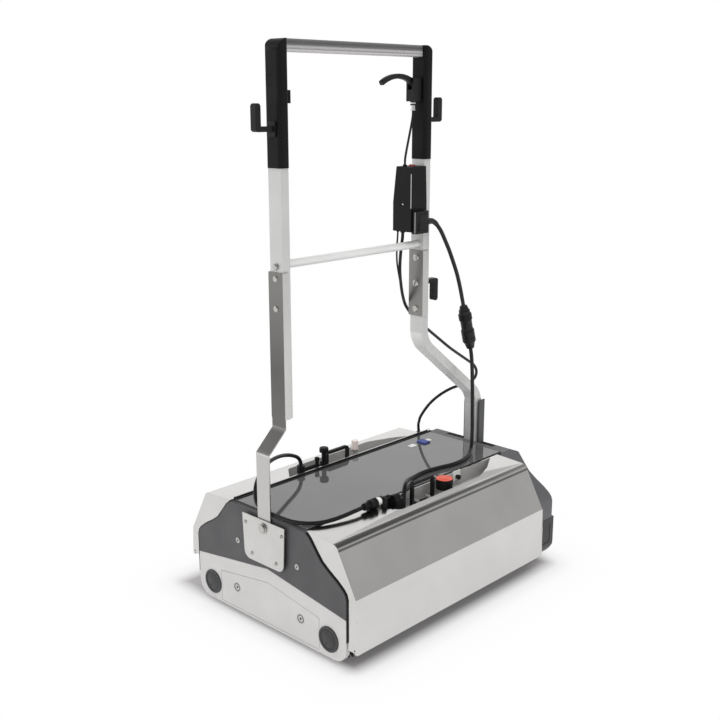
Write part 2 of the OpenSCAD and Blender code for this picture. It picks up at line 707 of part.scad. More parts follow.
// Recovery tank: a trough between the tanks, fed over its lower front wall
rec_x0 = inner_x0 + 12;
rec_x1 = motor_x - 20;
rec_wall = 2.5;
rec_y0 = -(top_half - 16);
rec_y1 = top_half - 8;
rec_outer = [[rec_y0, rec_z], [rec_y1, rec_z], [rec_y1, top_z - 7], [rec_y0, top_z - 7]];
module recovery_tank() color(WHITE) {
    difference() {
        along_x(rec_x0, rec_x1) polygon(rec_outer);
        along_x(rec_x0 + rec_wall, rec_x1 - rec_wall) polygon(
            [[rec_y0 + rec_wall, rec_z + rec_wall], [rec_y1 - rec_wall, rec_z + rec_wall],
                [rec_y1 - rec_wall, top_z], [rec_y0 + rec_wall, top_z]]);
        block(rec_x0 - 1, rec_x1 + 1, rec_y0 - 1, rec_y0 + 3, 222, top_z);
    }
}

// Rubber blade that wipes the drum into the recovery tank
module drum_scraper() color(BLACK) {
    a = 139;
    tip = [(drum_r + 0.5) * cos(a), drum_z + (drum_r + 0.5) * sin(a)];
    along_x(rec_x0, rec_x1) polygon([tip, tip + [1.5, 2.5], [-76, rec_z - 0.3],
        [-82, rec_z - 0.3]]);
}

// Clean water tanks, drawn at +Y and mirrored for the front
bend = [[tank_out - 65, top_z - 2.5], [tank_out - 59.5, top_z - 3.9],
    [tank_out - 54.2, top_z - 6.8], [tank_out - 50.8, top_z - 11.2],
    [tank_out - 49, top_z - 15.5]];
crease = [[tank_out - 4.2, crease_z + 2.5], [tank_out - 3, crease_z]];
function tank_outer(hem) = concat([[tank_in, tank_floor], [tank_out - 4, tank_floor],
    [tank_out - 2.5, hem + 2.5], [tank_out - 7, hem + 2.5], [tank_out - 7, hem],
    [tank_out, hem]], [for (i = [1:-1:0]) crease[i]], [for (i = [4:-1:0]) bend[i]],
    [[tank_in, top_z + 1]]);
tank_body = concat([[tank_in, tank_floor], [tank_out - 2.2, tank_floor]],
    [for (i = [1:-1:0]) crease[i]], [for (i = [4:-1:0]) bend[i]], [[tank_in, top_z + 1]]);
recess = [[-171, tank_in + 3], [243, tank_in + 3], [191, tank_in + 34], [162, tank_in + 45],
    [134, recess_y], [-123, recess_y], [-132, recess_y - 5]];
recess_walls = inset(recess, -tank_wall);

module tank_shell(neck_x, neck_h, neck_r, hem, loop_x) {
    difference() {
        union() {
            tank_skin(hem, loop_x);
            rod_z(recess_z - 1, recess_z + neck_h, neck_x, cap_y, neck_r);
        }
        rod_z(recess_z - 9, recess_z + neck_h + 1, neck_x, cap_y, neck_r - 2.5);
    }
}
module tank_skin(hem, loop_x) {
    difference() {
        union() {
            along_x(tank_x0, tank_x1) polygon(tank_outer(hem));
            block(tank_x0, tank_x0 + tank_wall, half_w + 3.2, tank_out - 1, hem + 3,
                tank_floor + 1);
            block(tank_x1 - tank_wall, tank_x1, brush_y + hood_r + hood_t + 0.6, tank_out - 1,
                hem + 3, tank_floor + 1);
        }
        difference() {
            along_x(tank_x0 + tank_wall, tank_x1 - tank_wall)
                polygon(inset(tank_body, tank_wall));
            along_x(tank_x0, inner_x0 + 4) polygon(inset(contour, -5));
            translate([0, 0, recess_z - tank_wall]) linear_extrude(recess_depth + 9)
                polygon(recess_walls);
        }
        along_x(tank_x0 - 1, inner_x0 + 2) polygon(inset(contour, -3));
        difference() {
            translate([0, 0, recess_z]) linear_extrude(recess_depth + 9) polygon(recess);
            for (s = [-1, 1]) translate([loop_x + s * ear_x, 0, 0]) difference() {
                block(-ear_w / 2, ear_w / 2, bail_y - 6, bail_y + 6, recess_z - 1, bail_z + 7);
                rod_x(-ear_w, ear_w, bail_y, bail_z, bail_pin_r + run);
            }
        }
        rod_x(tank_x0 - 1, tank_x0 + tank_wall + 1, tank_out - 7, hem + 8, 1.8);
    }
}

// Loop handle that swings on two ears in the recess
module bail(loop_x) {
    inner_w = bail_w - 2 * bail_bar;
    r = 10;
    translate([loop_x, 0, bail_z]) {
        difference() {
            along_y(bail_y - bail_bar / 2, bail_y + bail_bar / 2) difference() {
                union() {
                    translate([-bail_w / 2, -4]) square([bail_w, bail_h + 4 - r]);
                    translate([-bail_w / 2 + r, -4]) square([bail_w - 2 * r, bail_h + 4]);
                    for (s = [-1, 1]) translate([s * (bail_w / 2 - r), bail_h - r]) circle(r);
                }
                translate([-inner_w / 2, -9]) square([inner_w, bail_h + 9 - bail_bar]);
            }
        }
        rod_x(-bail_w / 2 + 1, bail_w / 2 - 1, bail_y, 0, bail_pin_r);
    }
}

front_neck = 33;
rear_neck = 40;
module front_cap() color(ORANGE) {
    z0 = recess_z + front_neck - 14;
    difference() {
        rod_z(z0, z0 + 24, front_cap_x, -cap_y, cap_r);
        rod_z(z0 - 1, z0 + 14.3, front_cap_x, -cap_y, cap_neck_r + gap);
        for (i = [0:23]) translate([front_cap_x, -cap_y, z0 + 2]) rotate([0, 0, 15 * i])
            block(cap_r - 1.2, cap_r + 2, -1.3, 1.3, 0, 15);
    }
}
module rear_cap() color("#e9b9a6") {
    z0 = recess_z + rear_neck - 3.7;
    difference() {
        rod_z(z0, z0 + 22, rear_cap_x, cap_y, vent_r + 2.5);
        rod_z(z0 - 1, z0 + 4, rear_cap_x, cap_y, vent_r + gap);
    }
}
module front_tank_shell() color(STEEL)
    mirror([0, 1, 0]) tank_shell(front_cap_x, front_neck, cap_neck_r, hem_z, front_bail_x);
module rear_tank_shell() color(STEEL)
    tank_shell(rear_cap_x, rear_neck, vent_r, rear_hem_z, rear_bail_x);
module front_bail() color(BLACK) mirror([0, 1, 0]) bail(front_bail_x);
module rear_bail() color(BLACK) bail(rear_bail_x);

// Pump that stands in the front recess and takes the control cord
pump_x0 = -119;
pump_x1 = -95;
cord_end = lid_route[len(lid_route) - 1];
cord_dir = axis_at(lid_route, len(lid_route) - 1);
module pump_block() color(BLACK) {
    block(pump_x0, pump_x1, -tank_in - 34, -fit_y + 5, recess_z + gap, recess_z + 40);
    rod_x(pump_x1 - 1, cord_end[0], cord_end[1], recess_z + 8, 4);
    sleeve_along(cord_end + gap * cord_dir, cord_end + 15 * cord_dir, 5.4);
    rod_x(pump_x0 + 3, pump_x1 - 3, -elbow_y, recess_z + 38, 9);
}

// Hose coupling, collar and drain elbow on the front tank
coupling_z = 266.3;
module front_fittings() color(BLACK) {
    rod_x(-196, -180, -hose_y, coupling_z, 8);
    rod_x(-181, -158, -hose_y, coupling_z, 10.5);
    rod_x(-159, -146, -hose_y, coupling_z, 8);
    rod_x(-147, pump_x0 - gap, -hose_y, coupling_z, 6);
    rod_z(recess_z + gap, coupling_z, -140, -elbow_y, 7);
    rod_y(-elbow_y - 11, -elbow_y, -136, recess_z + 18, 6);
    rod_y(-elbow_y - 13, -elbow_y - 7, -136, recess_z + 18, 7.5);
    rod_y(-tank_in - 5, -tank_in - 3 - gap, 116, recess_z + 21, 9);
    rod_y(-tank_in - 15, -tank_in - 4, 116, recess_z + 21, 6);
}

// Hose fitting, pipe and valve on the rear tank
valve_x = -59;
valve_top = recess_z + 42;
module rear_fittings() color(BLACK) {
    rod_z(recess_z + gap, 264, -131, fit_y, 6.3);
    rod_z(258, 274, -131, fit_y, 9);
    rod_x(-131, valve_x, fit_y, 256, 5.3);
    block(valve_x - 8, valve_x + 8, fit_y - 5.8, fit_y + 5.5, bail_z + 8, valve_top);
    block(valve_x - 3, valve_x + 8, fit_y - 5.8, fit_y + 5.5, recess_z + gap, bail_z + 9);
}
module rear_knob() color(BLACK) {
    difference() {
        union() {
            rod_z(valve_top + gap, 288, valve_x, fit_y, 5.5);
            rod_z(287, 299, valve_x, fit_y, 10.5);
        }
        for (i = [0:7]) translate([valve_x, fit_y, 286]) rotate([0, 0, 45 * i + 22.5])
            rod_z(0, 14, 12, 0, 2.5);
    }
}

// Handle, left side
strut_up = [[bar_x, pivot_z], [bar_x, up(388)], [web_x, up(431)], [web_x, strut_top_z],
    [web_x + strut_t, strut_top_z], [web_x + strut_t, up(430)], [bar_x + strut_t, up(387)],
    [bar_x + strut_t, pivot_z]];
strut_bolts = [up(755.6), up(732.5), up(673.6)];
bar_y = 38;
flange_x = 16;
module strut_flanges(x0, x1, z0, z1) {
    both_sides() block(x0, x1, tube_y / 2, tube_y / 2 + strut_t, z0, z1);
}
module left_strut() color(GREY) {
    difference() {
        union() {
            along_y(-bar_y / 2, bar_y / 2) polygon(strut_up);
            rod_x(bar_x, bar_x + strut_t, 0, pivot_z, bar_y / 2);
            block(web_x, web_x + strut_t, -tube_y / 2 - strut_t, tube_y / 2 + strut_t,
                channel_z0, strut_top_z);
            strut_flanges(web_x, web_x + flange_x, channel_z0, strut_top_z);
        }
        rod_x(bar_x - 1, bar_x + strut_t + 1, 0, pivot_z, pivot_r + run);
        for (z = strut_bolts) rod_x(web_x - 1, tube_xl + 1, 0, z, 4.2);
    }
}

module flat_tube(x0, z0, z1) {
    difference() {
        block(x0, x0 + tube_x, -tube_y / 2, tube_y / 2, z0, z1);
        block(x0 + tube_wall, x0 + tube_x - tube_wall, -tube_y / 2 + tube_wall,
            tube_y / 2 - tube_wall, z0 - 1, z1 + 1);
    }
}
module left_tube() color(ALU) {
    difference() {
        flat_tube(tube_xl, channel_z0, handle_h - 40);
        for (z = strut_bolts) rod_x(tube_xl - 1, tube_xl + tube_x / 2, 0, z, 4.2);
        rod_x(tube_xl + tube_x / 2, tube_xl + tube_x + 1, 0, cross_at, cross_r + run);
    }
}

// Right tube: straight down, a bend outwards, a bend down again and a leg to the pivot
leg_turn = atan(leg_slope);
bend_angle = 90 - leg_turn;
bend_reach = bend_r * tan(bend_angle / 2);
function bend_arc(c, a0, a1, r) = arc(c, r, a0, a1, 8);
arm_c = [right_mid_x + bend_r, arm_bend_z + bend_reach];
leg_c = [leg_x - bend_r, leg_bend_z - bend_reach];
function leg_outline(h) = concat(
    bend_arc(arm_c, 180, 180 + bend_angle, bend_r + h),
    [for (i = [8:-1:0]) bend_arc(leg_c, 0, bend_angle, bend_r - h)[i]],
    [[leg_x - h, pivot_z]], [[leg_x + h, pivot_z]],
    bend_arc(leg_c, 0, bend_angle, bend_r + h),
    [for (i = [8:-1:0]) bend_arc(arm_c, 180, 180 + bend_angle, bend_r - h)[i]],
    [[right_mid_x + h, handle_h - 40]], [[right_mid_x - h, handle_h - 40]]);
joint_bolts = [up(728.6), up(671), up(614)];
module right_tube() color(ALU) {
    difference() {
        union() {
            along_y(-tube_y / 2, tube_y / 2) polygon(leg_outline(tube_x / 2));
            rod_x(leg_x - tube_x / 2, leg_x + tube_x / 2, 0, pivot_z, tube_y / 2);
        }
        along_y(-tube_y / 2 + tube_wall, tube_y / 2 - tube_wall)
            polygon(leg_outline(tube_x / 2 - tube_wall));
        rod_x(leg_x - tube_x, leg_x + tube_x, 0, pivot_z, pin_r + run);
        for (z = joint_bolts) rod_x(right_tube_x - 1, right_mid_x, 0, z, 5.2);
        rod_x(right_tube_x - 1, right_mid_x, 0, cross_at, cross_r + run);
    }
}
joint_z0 = up(598);
joint_z1 = strut_top_z;
module joint_channel() color(GREY) {
    difference() {
        union() {
            block(right_tube_x - strut_t, right_tube_x, -tube_y / 2 - strut_t,
                tube_y / 2 + strut_t, joint_z0, joint_z1);
            strut_flanges(right_tube_x - strut_t, right_tube_x + flange_x, joint_z0, joint_z1);
        }
        for (z = joint_bolts) rod_x(right_tube_x - 9, right_tube_x + 1, 0, z, 5.2);
    }
}

// Dark channel round the leg, pivoted on the same pin
fork_x0 = leg_x - 5;
fork_x1 = leg_x + tube_x / 2 + 6;
fork_y = tube_y / 2 + fork_gap;
module leg_channel() color(DARK) {
    r = 8;
    difference() {
        union() {
            both_sides() along_y(fork_y, fork_y + fork_t) {
                translate([fork_x0, pivot_z]) square([fork_x1 - fork_x0, fork_top_z - r - pivot_z]);
                translate([fork_x0 + r, pivot_z])
                    square([fork_x1 - fork_x0 - r, fork_top_z - pivot_z]);
                translate([fork_x0 + r, fork_top_z - r]) circle(r);
            }
            block(fork_x1 - fork_t, fork_x1, -fork_y - 1, fork_y + 1, pivot_z, fork_top_z - 12);
            rod_x(fork_x1 - fork_t, fork_x1, 0, pivot_z, fork_y + fork_t);
            both_sides() block(leg_x + 4, fork_x1, tube_y / 2, fork_y + 1, pivot_z + 50,
                pivot_z + 90);
        }
        rod_x(fork_x1 - 9, fork_x1 + 1, 0, pivot_z, pin_r + run);
    }
}

module button_bolt(x, z, r, dir, reach) {
    rod_x(dir > 0 ? x - 3 : x, dir > 0 ? x : x + 3, 0, z, r);
    rod_x(dir > 0 ? x - 1 : x - reach, dir > 0 ? x + reach : x + 1, 0, z, r * 0.55);
}
module frame_bolts() color(STEEL) {
    for (z = strut_bolts) button_bolt(web_x, z, 6.5, 1, strut_t + tube_wall + 4);
    for (z = joint_bolts) button_bolt(right_tube_x - strut_t, z, 8.5, 1, strut_t + 6);
}

module cross_bar() color(ALU)
    rod_x(tube_xl + tube_x - tube_wall, right_tube_x + tube_wall, 0, cross_at, cross_r);

grip_arm = 8;
module top_bar_outline(s, r) {
    translate([-s / 2 + r, -s / 2]) square([s - 2 * r, s]);
    translate([-s / 2, -s / 2 + r]) square([s, s - 2 * r]);
    for (a = [-1, 1], b = [-1, 1]) translate([a * (s / 2 - r), b * (s / 2 - r)]) circle(r);
}
top_bar_z = handle_h - top_bar / 2;
module top_bar() color(ALU) {
    difference() {
        along_x(tube_xl + tube_x + grip_wall + gap, right_tube_x - grip_wall - gap)
            translate([0, top_bar_z]) difference() {
                top_bar_outline(top_bar, 5);
                top_bar_outline(top_bar - 5, 3);
                for (s = [-1, 1], k = [-5, 0, 5]) {
                    translate([s * top_bar / 2, k]) square([1.4, 1.6], center = true);
                    translate([k, s * top_bar / 2]) square([1.6, 1.4], center = true);
                }
            }
    }
}

// Corner grips: a hollow upright over the tube, rounded into the top bar
module grip(x_out, x_in, dir) {
    r = 24;
    z1 = handle_h;
    difference() {
        intersection() {
            translate([x_out + dir * grip_x / 2, 0, grip_at]) linear_extrude(z1 - grip_at)
                rounded_rect(grip_x, grip_y, 8);
            along_y(-grip_y, grip_y) union() {
                translate([min(x_out, x_in), grip_at]) square([grip_x, z1 - r - grip_at]);
                translate([dir > 0 ? x_out + r : x_in, grip_at])
                    square([grip_x - r, z1 - grip_at]);
                translate([x_out + dir * r, z1 - r]) circle(r);
            }
        }
        block(min(x_out, x_in) + grip_wall, max(x_out, x_in) - grip_wall, -tube_y / 2,
            tube_y / 2, grip_at - 1, handle_h - 40 + gap);
        children();
    }
    along_x(min(x_in, x_in + dir * grip_arm), max(x_in, x_in + dir * grip_arm))
        translate([0, top_bar_z]) top_bar_outline(top_bar - 5.4, 3);
}
module rounded_rect(w, h, r) {
    translate([-w / 2 + r, -h / 2]) square([w - 2 * r, h]);
    translate([-w / 2, -h / 2 + r]) square([w, h - 2 * r]);
    for (a = [-1, 1], b = [-1, 1]) translate([a * (w / 2 - r), b * (h / 2 - r)]) circle(r);
}
module left_grip() color(BLACK) {
    grip(tube_xl - grip_wall, tube_xl + tube_x + grip_wall, 1)
        block(tube_xl - grip_wall - 1, tube_xl - grip_wall + 2, -1, 19, handle_h - 84,
            handle_h - 64);
    block(tube_xl + tube_x + grip_wall - 1, tube_xl + tube_x + grip_wall + 7, -16, -6,
        handle_h - 116, handle_h - 92);
}
module right_grip() color(BLACK)
    grip(right_tube_x + tube_x + grip_wall, right_tube_x - grip_wall, -1);

// Hooks that the supply cord is wound round
module hook(x, z, dir, tip) {
    translate([x, 0, z]) scale_dir(dir) {
        block(0, hook_arm - 6, -7, 7, -5, 5);
        block(0, 4, -11, 11, -14, 14);
        along_y(-7, 7) {
            translate([hook_arm - 13, tip > 0 ? -2 : -40]) square([13, 42]);
            translate([hook_arm - 6.5, tip * 40]) circle(6.5);
            translate([hook_arm - 7, tip * 2]) circle(7);
        }
    }
}
module scale_dir(dir) {
    mirror([dir > 0 ? 0 : 1, 0, 0]) children();
}
module cable_hooks() color(BLACK) {
    hook(tube_xl - grip_wall, up(1014), -1, 1);
    hook(right_tube_x + tube_x + grip_wall, up(1024), 1, 1);
    hook(right_tube_x + tube_x, joint_bolts[1], 1, -1);
}

// Switch box on the right tube
box_top = grip_at - 14;
box_profile = [[-box_y / 2, box_z], [box_y / 2, box_z], [box_y / 2, box_z + 62],
    [box_y / 2 - 9, box_top], [-box_y / 2 + 3, box_top], [-box_y / 2, box_z + 62]];
rocker_x = right_tube_x - 26;
rocker_r = 3;
module switch_box() color(BLACK) {
    difference() {
        along_x(box_x0, box_x1) polygon(box_profile);
        along_x(box_x0 + 2.5, box_x1 - 2.5) polygon(inset(box_profile, 2.5));
        block(rocker_x - 10.6, rocker_x + 10.6, -7.3, 7.3, box_top - 9, box_top + 1);
        rod_y(-9, 9, rocker_x, box_top - 4, rocker_r + run);
        block(box_x0 - 1, box_x0 + 0.6, -box_y, box_y, box_z + 40, box_z + 41);
    }
    rod_z(box_top - 2, box_top + 4, 68, 0, 4.5);
    block(rocker_x + 10.8, rocker_x + 13.5, -9, 9, box_top - 9, box_top);
    block(rocker_x - 13.5, rocker_x - 10.8, -9, 9, box_top - 9, box_top);
    rod_x(box_x0 - 1, box_x0 + 1, 6, box_z + 58, 3);
    block(box_x0 + 4, box_x1 - 6, -box_y / 2 - 2.4, -box_y / 2 + 1, box_z - 4, box_z + 48);
    rod_z(box_z - 5, box_z + 1, 80, 15, 5.5);
    rod_z(box_z - 2, box_z + 1, 64, 15, 3);
}
rocker_side = [[-10, -2], [-6, -6], [6, -6], [10, -2], [10, 2], [7.5, 6.5], [0, 3.5],
    [-7.5, 6.5], [-10, 2]];
module rocker() color("#8c2f2a") {
    translate([rocker_x, 0, box_top - 4]) rotate([0, -7, 0])
        along_y(-7, 7) polygon(rocker_side);
    rod_y(-9, 9, rocker_x, box_top - 4, rocker_r);
}

// Lever bracket under the right grip's inner side, with the cable adjuster
module lever_bracket() color(BLACK) {
    difference() {
        union() {
            block(lever_x - 13, right_tube_x - grip_wall, -10, 10, lever_z - 40, lever_z + 8);
            rod_z(lever_z - 48, lever_z - 39, lever_x - 2, 0, 6);
            rod_z(lever_z - 58, lever_z - 47, lever_x - 2, 0, 4);
        }
        block(lever_x - 14, lever_x + 9.8, -5.4, 5.4, lever_z - 16, lever_z + 9);
    }
    rod_y(-9, 9, lever_x, lever_z, lever_pin_r);
}
lever_top = concat(arc([lever_x - 50, lever_z - 85], 101, 68, 120, 9),
    [[lever_x - 104, lever_z - 1.2]]);
lever_low = arc([lever_x - 51, lever_z - 85], 91, 122, 72, 9);
module squeeze_lever() color(BLACK) {
    difference() {
        union() {
            along_y(-5, 5) polygon(concat([[lever_x - 6, lever_z - 11], [lever_x + 7, lever_z - 8],
                [lever_x + 7, lever_z + 9]], lever_top, lever_low));
        }
        rod_y(-9, 9, lever_x, lever_z, lever_pin_r + run);
    }
}

// A round tube swept along a smooth curve through the route's points
function axis_at(p, i) = unit(p[min(i + 1, len(p) - 1)] - p[max(i - 1, 0)]);
function turn_frame(u, t) = unit(u - (u * t) * t);
function frames(p, i, u) = i == len(p) ? [] :
    let(v = turn_frame(u, axis_at(p, i))) concat([v], frames(p, i + 1, v));
function first_side(t) = abs(t[2]) > 0.9 ? [1, 0, 0] : [0, 0, 1];
module tube(p, d, n) {
    f = frames(p, 0, first_side(axis_at(p, 0)));
    pts = [for (i = [0:len(p) - 1]) let(t = axis_at(p, i), u = f[i], v = cross(t, u))
        each [for (j = [0:n - 1]) let(a = 360 * j / n)
            p[i] + d / 2 * (cos(a) * u + sin(a) * v)]];
    last = n * (len(p) - 1);
    walls = [for (i = [0:len(p) - 2], j = [0:n - 1]) let(k = (j + 1) % n, b = i * n)
        each [[b + j, b + n + k, b + k], [b + j, b + n + j, b + n + k]]];
    polyhedron(points = pts, faces = concat([[for (j = [0:n - 1]) j]],
        walls, [[for (j = [n - 1:-1:0]) last + j]]));
}

module sleeve_along(a, b, r) {
    d = b - a;
    translate(a) rotate([0, acos(d[2] / norm(d)), atan2(d[1], d[0])])
        cylinder(h = norm(d), r = r);
}

// Plug in the box's socket, and the round connector halfway down the cord
plug_x = 82;
conn_a = [222, -46, up(609.5)];
conn_b = [252, -46, up(506.5)];
module cord_plugs() color(BLACK) {
    block(plug_x - 19, plug_x + 19, -box_y / 2 - 15, -box_y / 2 - 2.7, box_z - 3, box_z + 45);
    rod_x(plug_x + 18, 111.9, -34.5, box_z + 21, 5.5);
    u = unit(conn_b - conn_a);
    sleeve_along(conn_a, conn_a + 22 * u, 13);
    sleeve_along(conn_a + 20 * u, conn_a + 30 * u, 15.5);
    sleeve_along(conn_a + 29 * u, conn_a + 76 * u, 14);
    sleeve_along(conn_a + 75 * u, conn_a + 90 * u, 15.5);
    sleeve_along(conn_a + 88 * u, conn_b, 12);
}

module upper_cord() color(BLACK) tube(upper_route, cord_d, 8);
module hanging_cord() color(BLACK) tube(hanging_route, cord_d, 8);
module lid_cord() color(BLACK) tube(lid_route, cord_d, 8);
module rear_hose() color(BLACK) tube(rear_hose_route, hose_d, 8);
module front_hose() color(BLACK) tube(front_hose_route, hose_d, 8);
module cable_bundle() color(BLACK) {
    tube(bundle_route, cable_d, 8);
    tube(thin_route, thin_d, 6);
    sleeve_along([94, 24.4, up(636)], [103, 28, up(624)], 6);
}
module lever_cable() color(BLACK) tube(lever_route, lever_cable_d, 8);

frame_plates();
tie_rods();
brush_hoods();
end_cover_upper();
end_cover_lower();
access_panel();
axle_caps();
end_screws();
pivot_bracket();
pivot_pins();
drive_housing();
drive_lower_cover();
smoked_lid();
edge_seals();
recovery_tank();
drum_scraper();
motor();
drive_belts();
shaft_bearings();
cable_glands();
motor_pinion();
layshaft();
brush_core(-1);  // brush_core_front
bristles(-1);  // bristles_front
brush_core(1);  // brush_core_rear
bristles(1);  // bristles_rear
pickup_drum();
front_tank_shell();
front_bail();
front_cap();
pump_block();
front_fittings();
rear_tank_shell();
rear_bail();
rear_cap();
rear_knob();
rear_fittings();
left_strut();
left_tube();
right_tube();
joint_channel();
leg_channel();
frame_bolts();
cross_bar();
top_bar();
left_grip();
right_grip();
cable_hooks();
switch_box();
lever_bracket();
squeeze_lever();
rocker();
cord_plugs();
upper_cord();
hanging_cord();
lid_cord();
rear_hose();
front_hose();
cable_bundle();
lever_cable();
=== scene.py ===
"""Floor scrubber with two brushes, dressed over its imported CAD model.

All sizes are in millimetres in this file's tables and turned to metres on use.
"""

import json
import math

import bpy
from mathutils import Matrix, Vector

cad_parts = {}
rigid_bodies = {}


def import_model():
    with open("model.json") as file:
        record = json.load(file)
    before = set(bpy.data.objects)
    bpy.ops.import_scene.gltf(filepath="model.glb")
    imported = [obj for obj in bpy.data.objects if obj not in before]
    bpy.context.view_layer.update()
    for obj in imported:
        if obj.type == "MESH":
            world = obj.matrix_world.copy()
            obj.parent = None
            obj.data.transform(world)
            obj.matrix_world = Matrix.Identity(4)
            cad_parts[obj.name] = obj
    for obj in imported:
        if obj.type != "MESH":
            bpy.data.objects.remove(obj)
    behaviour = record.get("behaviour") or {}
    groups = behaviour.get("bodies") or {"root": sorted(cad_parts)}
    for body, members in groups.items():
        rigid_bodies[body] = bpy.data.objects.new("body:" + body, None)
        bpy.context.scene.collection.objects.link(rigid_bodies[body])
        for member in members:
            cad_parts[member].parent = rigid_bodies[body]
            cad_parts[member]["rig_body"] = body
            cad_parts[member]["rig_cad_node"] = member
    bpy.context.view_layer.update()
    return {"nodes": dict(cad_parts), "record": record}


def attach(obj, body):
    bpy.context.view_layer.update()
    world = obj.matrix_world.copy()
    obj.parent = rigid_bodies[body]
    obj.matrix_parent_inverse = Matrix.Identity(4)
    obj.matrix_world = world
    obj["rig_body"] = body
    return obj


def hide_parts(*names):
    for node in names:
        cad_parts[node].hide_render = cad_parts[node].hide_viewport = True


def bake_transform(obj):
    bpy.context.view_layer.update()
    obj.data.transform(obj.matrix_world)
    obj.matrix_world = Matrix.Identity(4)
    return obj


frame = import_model()
NODES = frame["nodes"]
MM = 0.001
X, Y, Z = Vector((1, 0, 0)), Vector((0, 1, 0)), Vector((0, 0, 1))


def m(*values):
    """Millimetres to a vector in metres."""
    return Vector(values) * MM


# Camera, solved from the machine's parallel edges -----------------------------

CAMERA_PLACE = m(-1594.9, -1469.1, 1071.0)
CAMERA_AZIMUTH = -46.06
CAMERA_PITCH = 14.38
CAMERA_ROLL = -0.06
CAMERA_LENS, CAMERA_SENSOR = 51.27, 36
CAMERA_CLIP = (0.05, 60)

camera_data = bpy.data.cameras.new("studio_camera")
camera_data.lens, camera_data.sensor_width = CAMERA_LENS, CAMERA_SENSOR
camera_data.clip_start, camera_data.clip_end = CAMERA_CLIP
camera = bpy.data.objects.new("studio_camera", camera_data)
bpy.context.scene.collection.objects.link(camera)
azimuth, pitch = math.radians(CAMERA_AZIMUTH), math.radians(CAMERA_PITCH)
back = Vector(
    (math.sin(azimuth) * math.cos(pitch), -math.cos(azimuth) * math.cos(pitch), math.sin(pitch))
)
camera.matrix_world = (
    Matrix.Translation(CAMERA_PLACE)
    @ back.to_track_quat("Z", "Y").to_matrix().to_4x4()
    @ Matrix.Rotation(math.radians(CAMERA_ROLL), 4, "Z")
)
bpy.context.scene.camera = camera
bpy.context.scene.view_settings.view_transform = "Standard"


# Materials --------------------------------------------------------------------

# Which way a grain runs: along the machine, upright, or the same each way
LENGTHWISE, UPRIGHT, EVEN = (0.03, 1, 1), (1, 1, 0.03), (1, 1, 1)
# Slow changes of tone, in waves per metre, and how strongly the grain shows as relief
METAL_CLOUDS, PLASTIC_DRIFT = 9.0, 14.0
METAL_RELIEF, PLASTIC_RELIEF = 0.25, 0.4


def tone(hex_code):
    """An sRGB hex colour as the linear colour that Blender's sockets take."""
    parts = [int(hex_code[i : i + 2], 16) / 255 for i in (0, 2, 4)]
    linear = [c / 12.92 if c <= 0.04045 else ((c + 0.055) / 1.055) ** 2.4 for c in parts]
    return (*linear, 1.0)


def grey(level):
    """A linear grey as a colour."""
    return (level, level, level, 1.0)


def add(owner, kind, links=None, **settings):
    """Adds a node: settings are its own properties, links its sockets' values or sources."""
    tree = owner.node_tree
    made = tree.nodes.new(kind)
    for key, value in settings.items():
        setattr(made, key, value)
    for key, value in (links or {}).items():
        if isinstance(value, bpy.types.NodeSocket):
            tree.links.new(value, made.inputs[key])
        else:
            made.inputs[key].default_value = value
    return made


def between(owner, factor, low, high, low_at=0.35, high_at=0.65):
    """Maps a pattern to a range of plain values."""
    spans = {"From Min": low_at, "From Max": high_at, "To Min": low, "To Max": high}
    return add(owner, "ShaderNodeMapRange", {0: factor, **spans}).outputs[0]


def ramp(owner, factor, stops):
    """A colour ramp through (place, colour) stops."""
    made = add(owner, "ShaderNodeValToRGB", {"Fac": factor})
    elements = made.color_ramp.elements
    elements[0].position, elements[0].color = stops[0]
    elements[1].position, elements[1].color = stops[-1]
    for place, colour in stops[1:-1]:
        elements.new(place).color = colour
    return made.outputs["Color"]


def shader_of(material):
    """The material's own shader node."""
    return material.node_tree.nodes["Principled BSDF"]


def wire(material, socket, source):
    """Links a source to a socket of the material's shader."""
    material.node_tree.links.new(source, shader_of(material).inputs[socket])


def start(name, colour, roughness, metallic=0.0, ior=1.5, **sockets):
    """A material with its shader's plain sockets set."""
    material = bpy.data.materials.new(name)
    material.use_nodes = True
    inputs = shader_of(material).inputs
    inputs["Base Color"].default_value = tone(colour)
    inputs["Roughness"].default_value = roughness
    inputs["Metallic"].default_value = metallic
    inputs["IOR"].default_value = ior
    for key, value in sockets.items():
        inputs[key.replace("_", " ")].default_value = value
    return material


def own_place(material):
    """The piece's own coordinates, in metres."""
    return add(material, "ShaderNodeTexCoord").outputs["Object"]


def height_in(material):
    """The height on the piece's own coordinates, in metres."""
    split = add(material, "ShaderNodeSeparateXYZ", {"Vector": own_place(material)})
    return split.outputs["Z"]


def pattern(material, stretch, scale, detail=3.0, rough=0.55):
    """Noise on the piece's own coordinates, stretched along each axis."""
    stretched = add(
        material, "ShaderNodeMapping", {"Vector": own_place(material), "Scale": stretch}
    )
    looks = {"Scale": scale, "Detail": detail, "Roughness": rough}
    noise = add(
        material, "ShaderNodeTexNoise", {"Vector": stretched.outputs["Vector"], **looks}
    )
    return noise.outputs["Fac"]


def graded(material, factor, shades):
    """Colours the shader by a ramp through (place, hex colour) pairs."""
    stops = [(place, tone(code)) for place, code in shades]
    wire(material, "Base Color", ramp(material, factor, stops))


def two_tone(material, factor, colours, low_at=0.3, high_at=0.7):
    """Blends two colours by a pattern into the shader's colour."""
    graded(material, factor, ((low_at, colours[0]), (high_at, colours[1])))


def relief(material, factor, strength, distance):
    """A bump of that depth in metres."""
    bump = add(
        material,
        "ShaderNodeBump",
        {"Height": factor, "Strength": strength, "Distance": distance},
    )
    wire(material, "Normal", bump.outputs["Normal"])


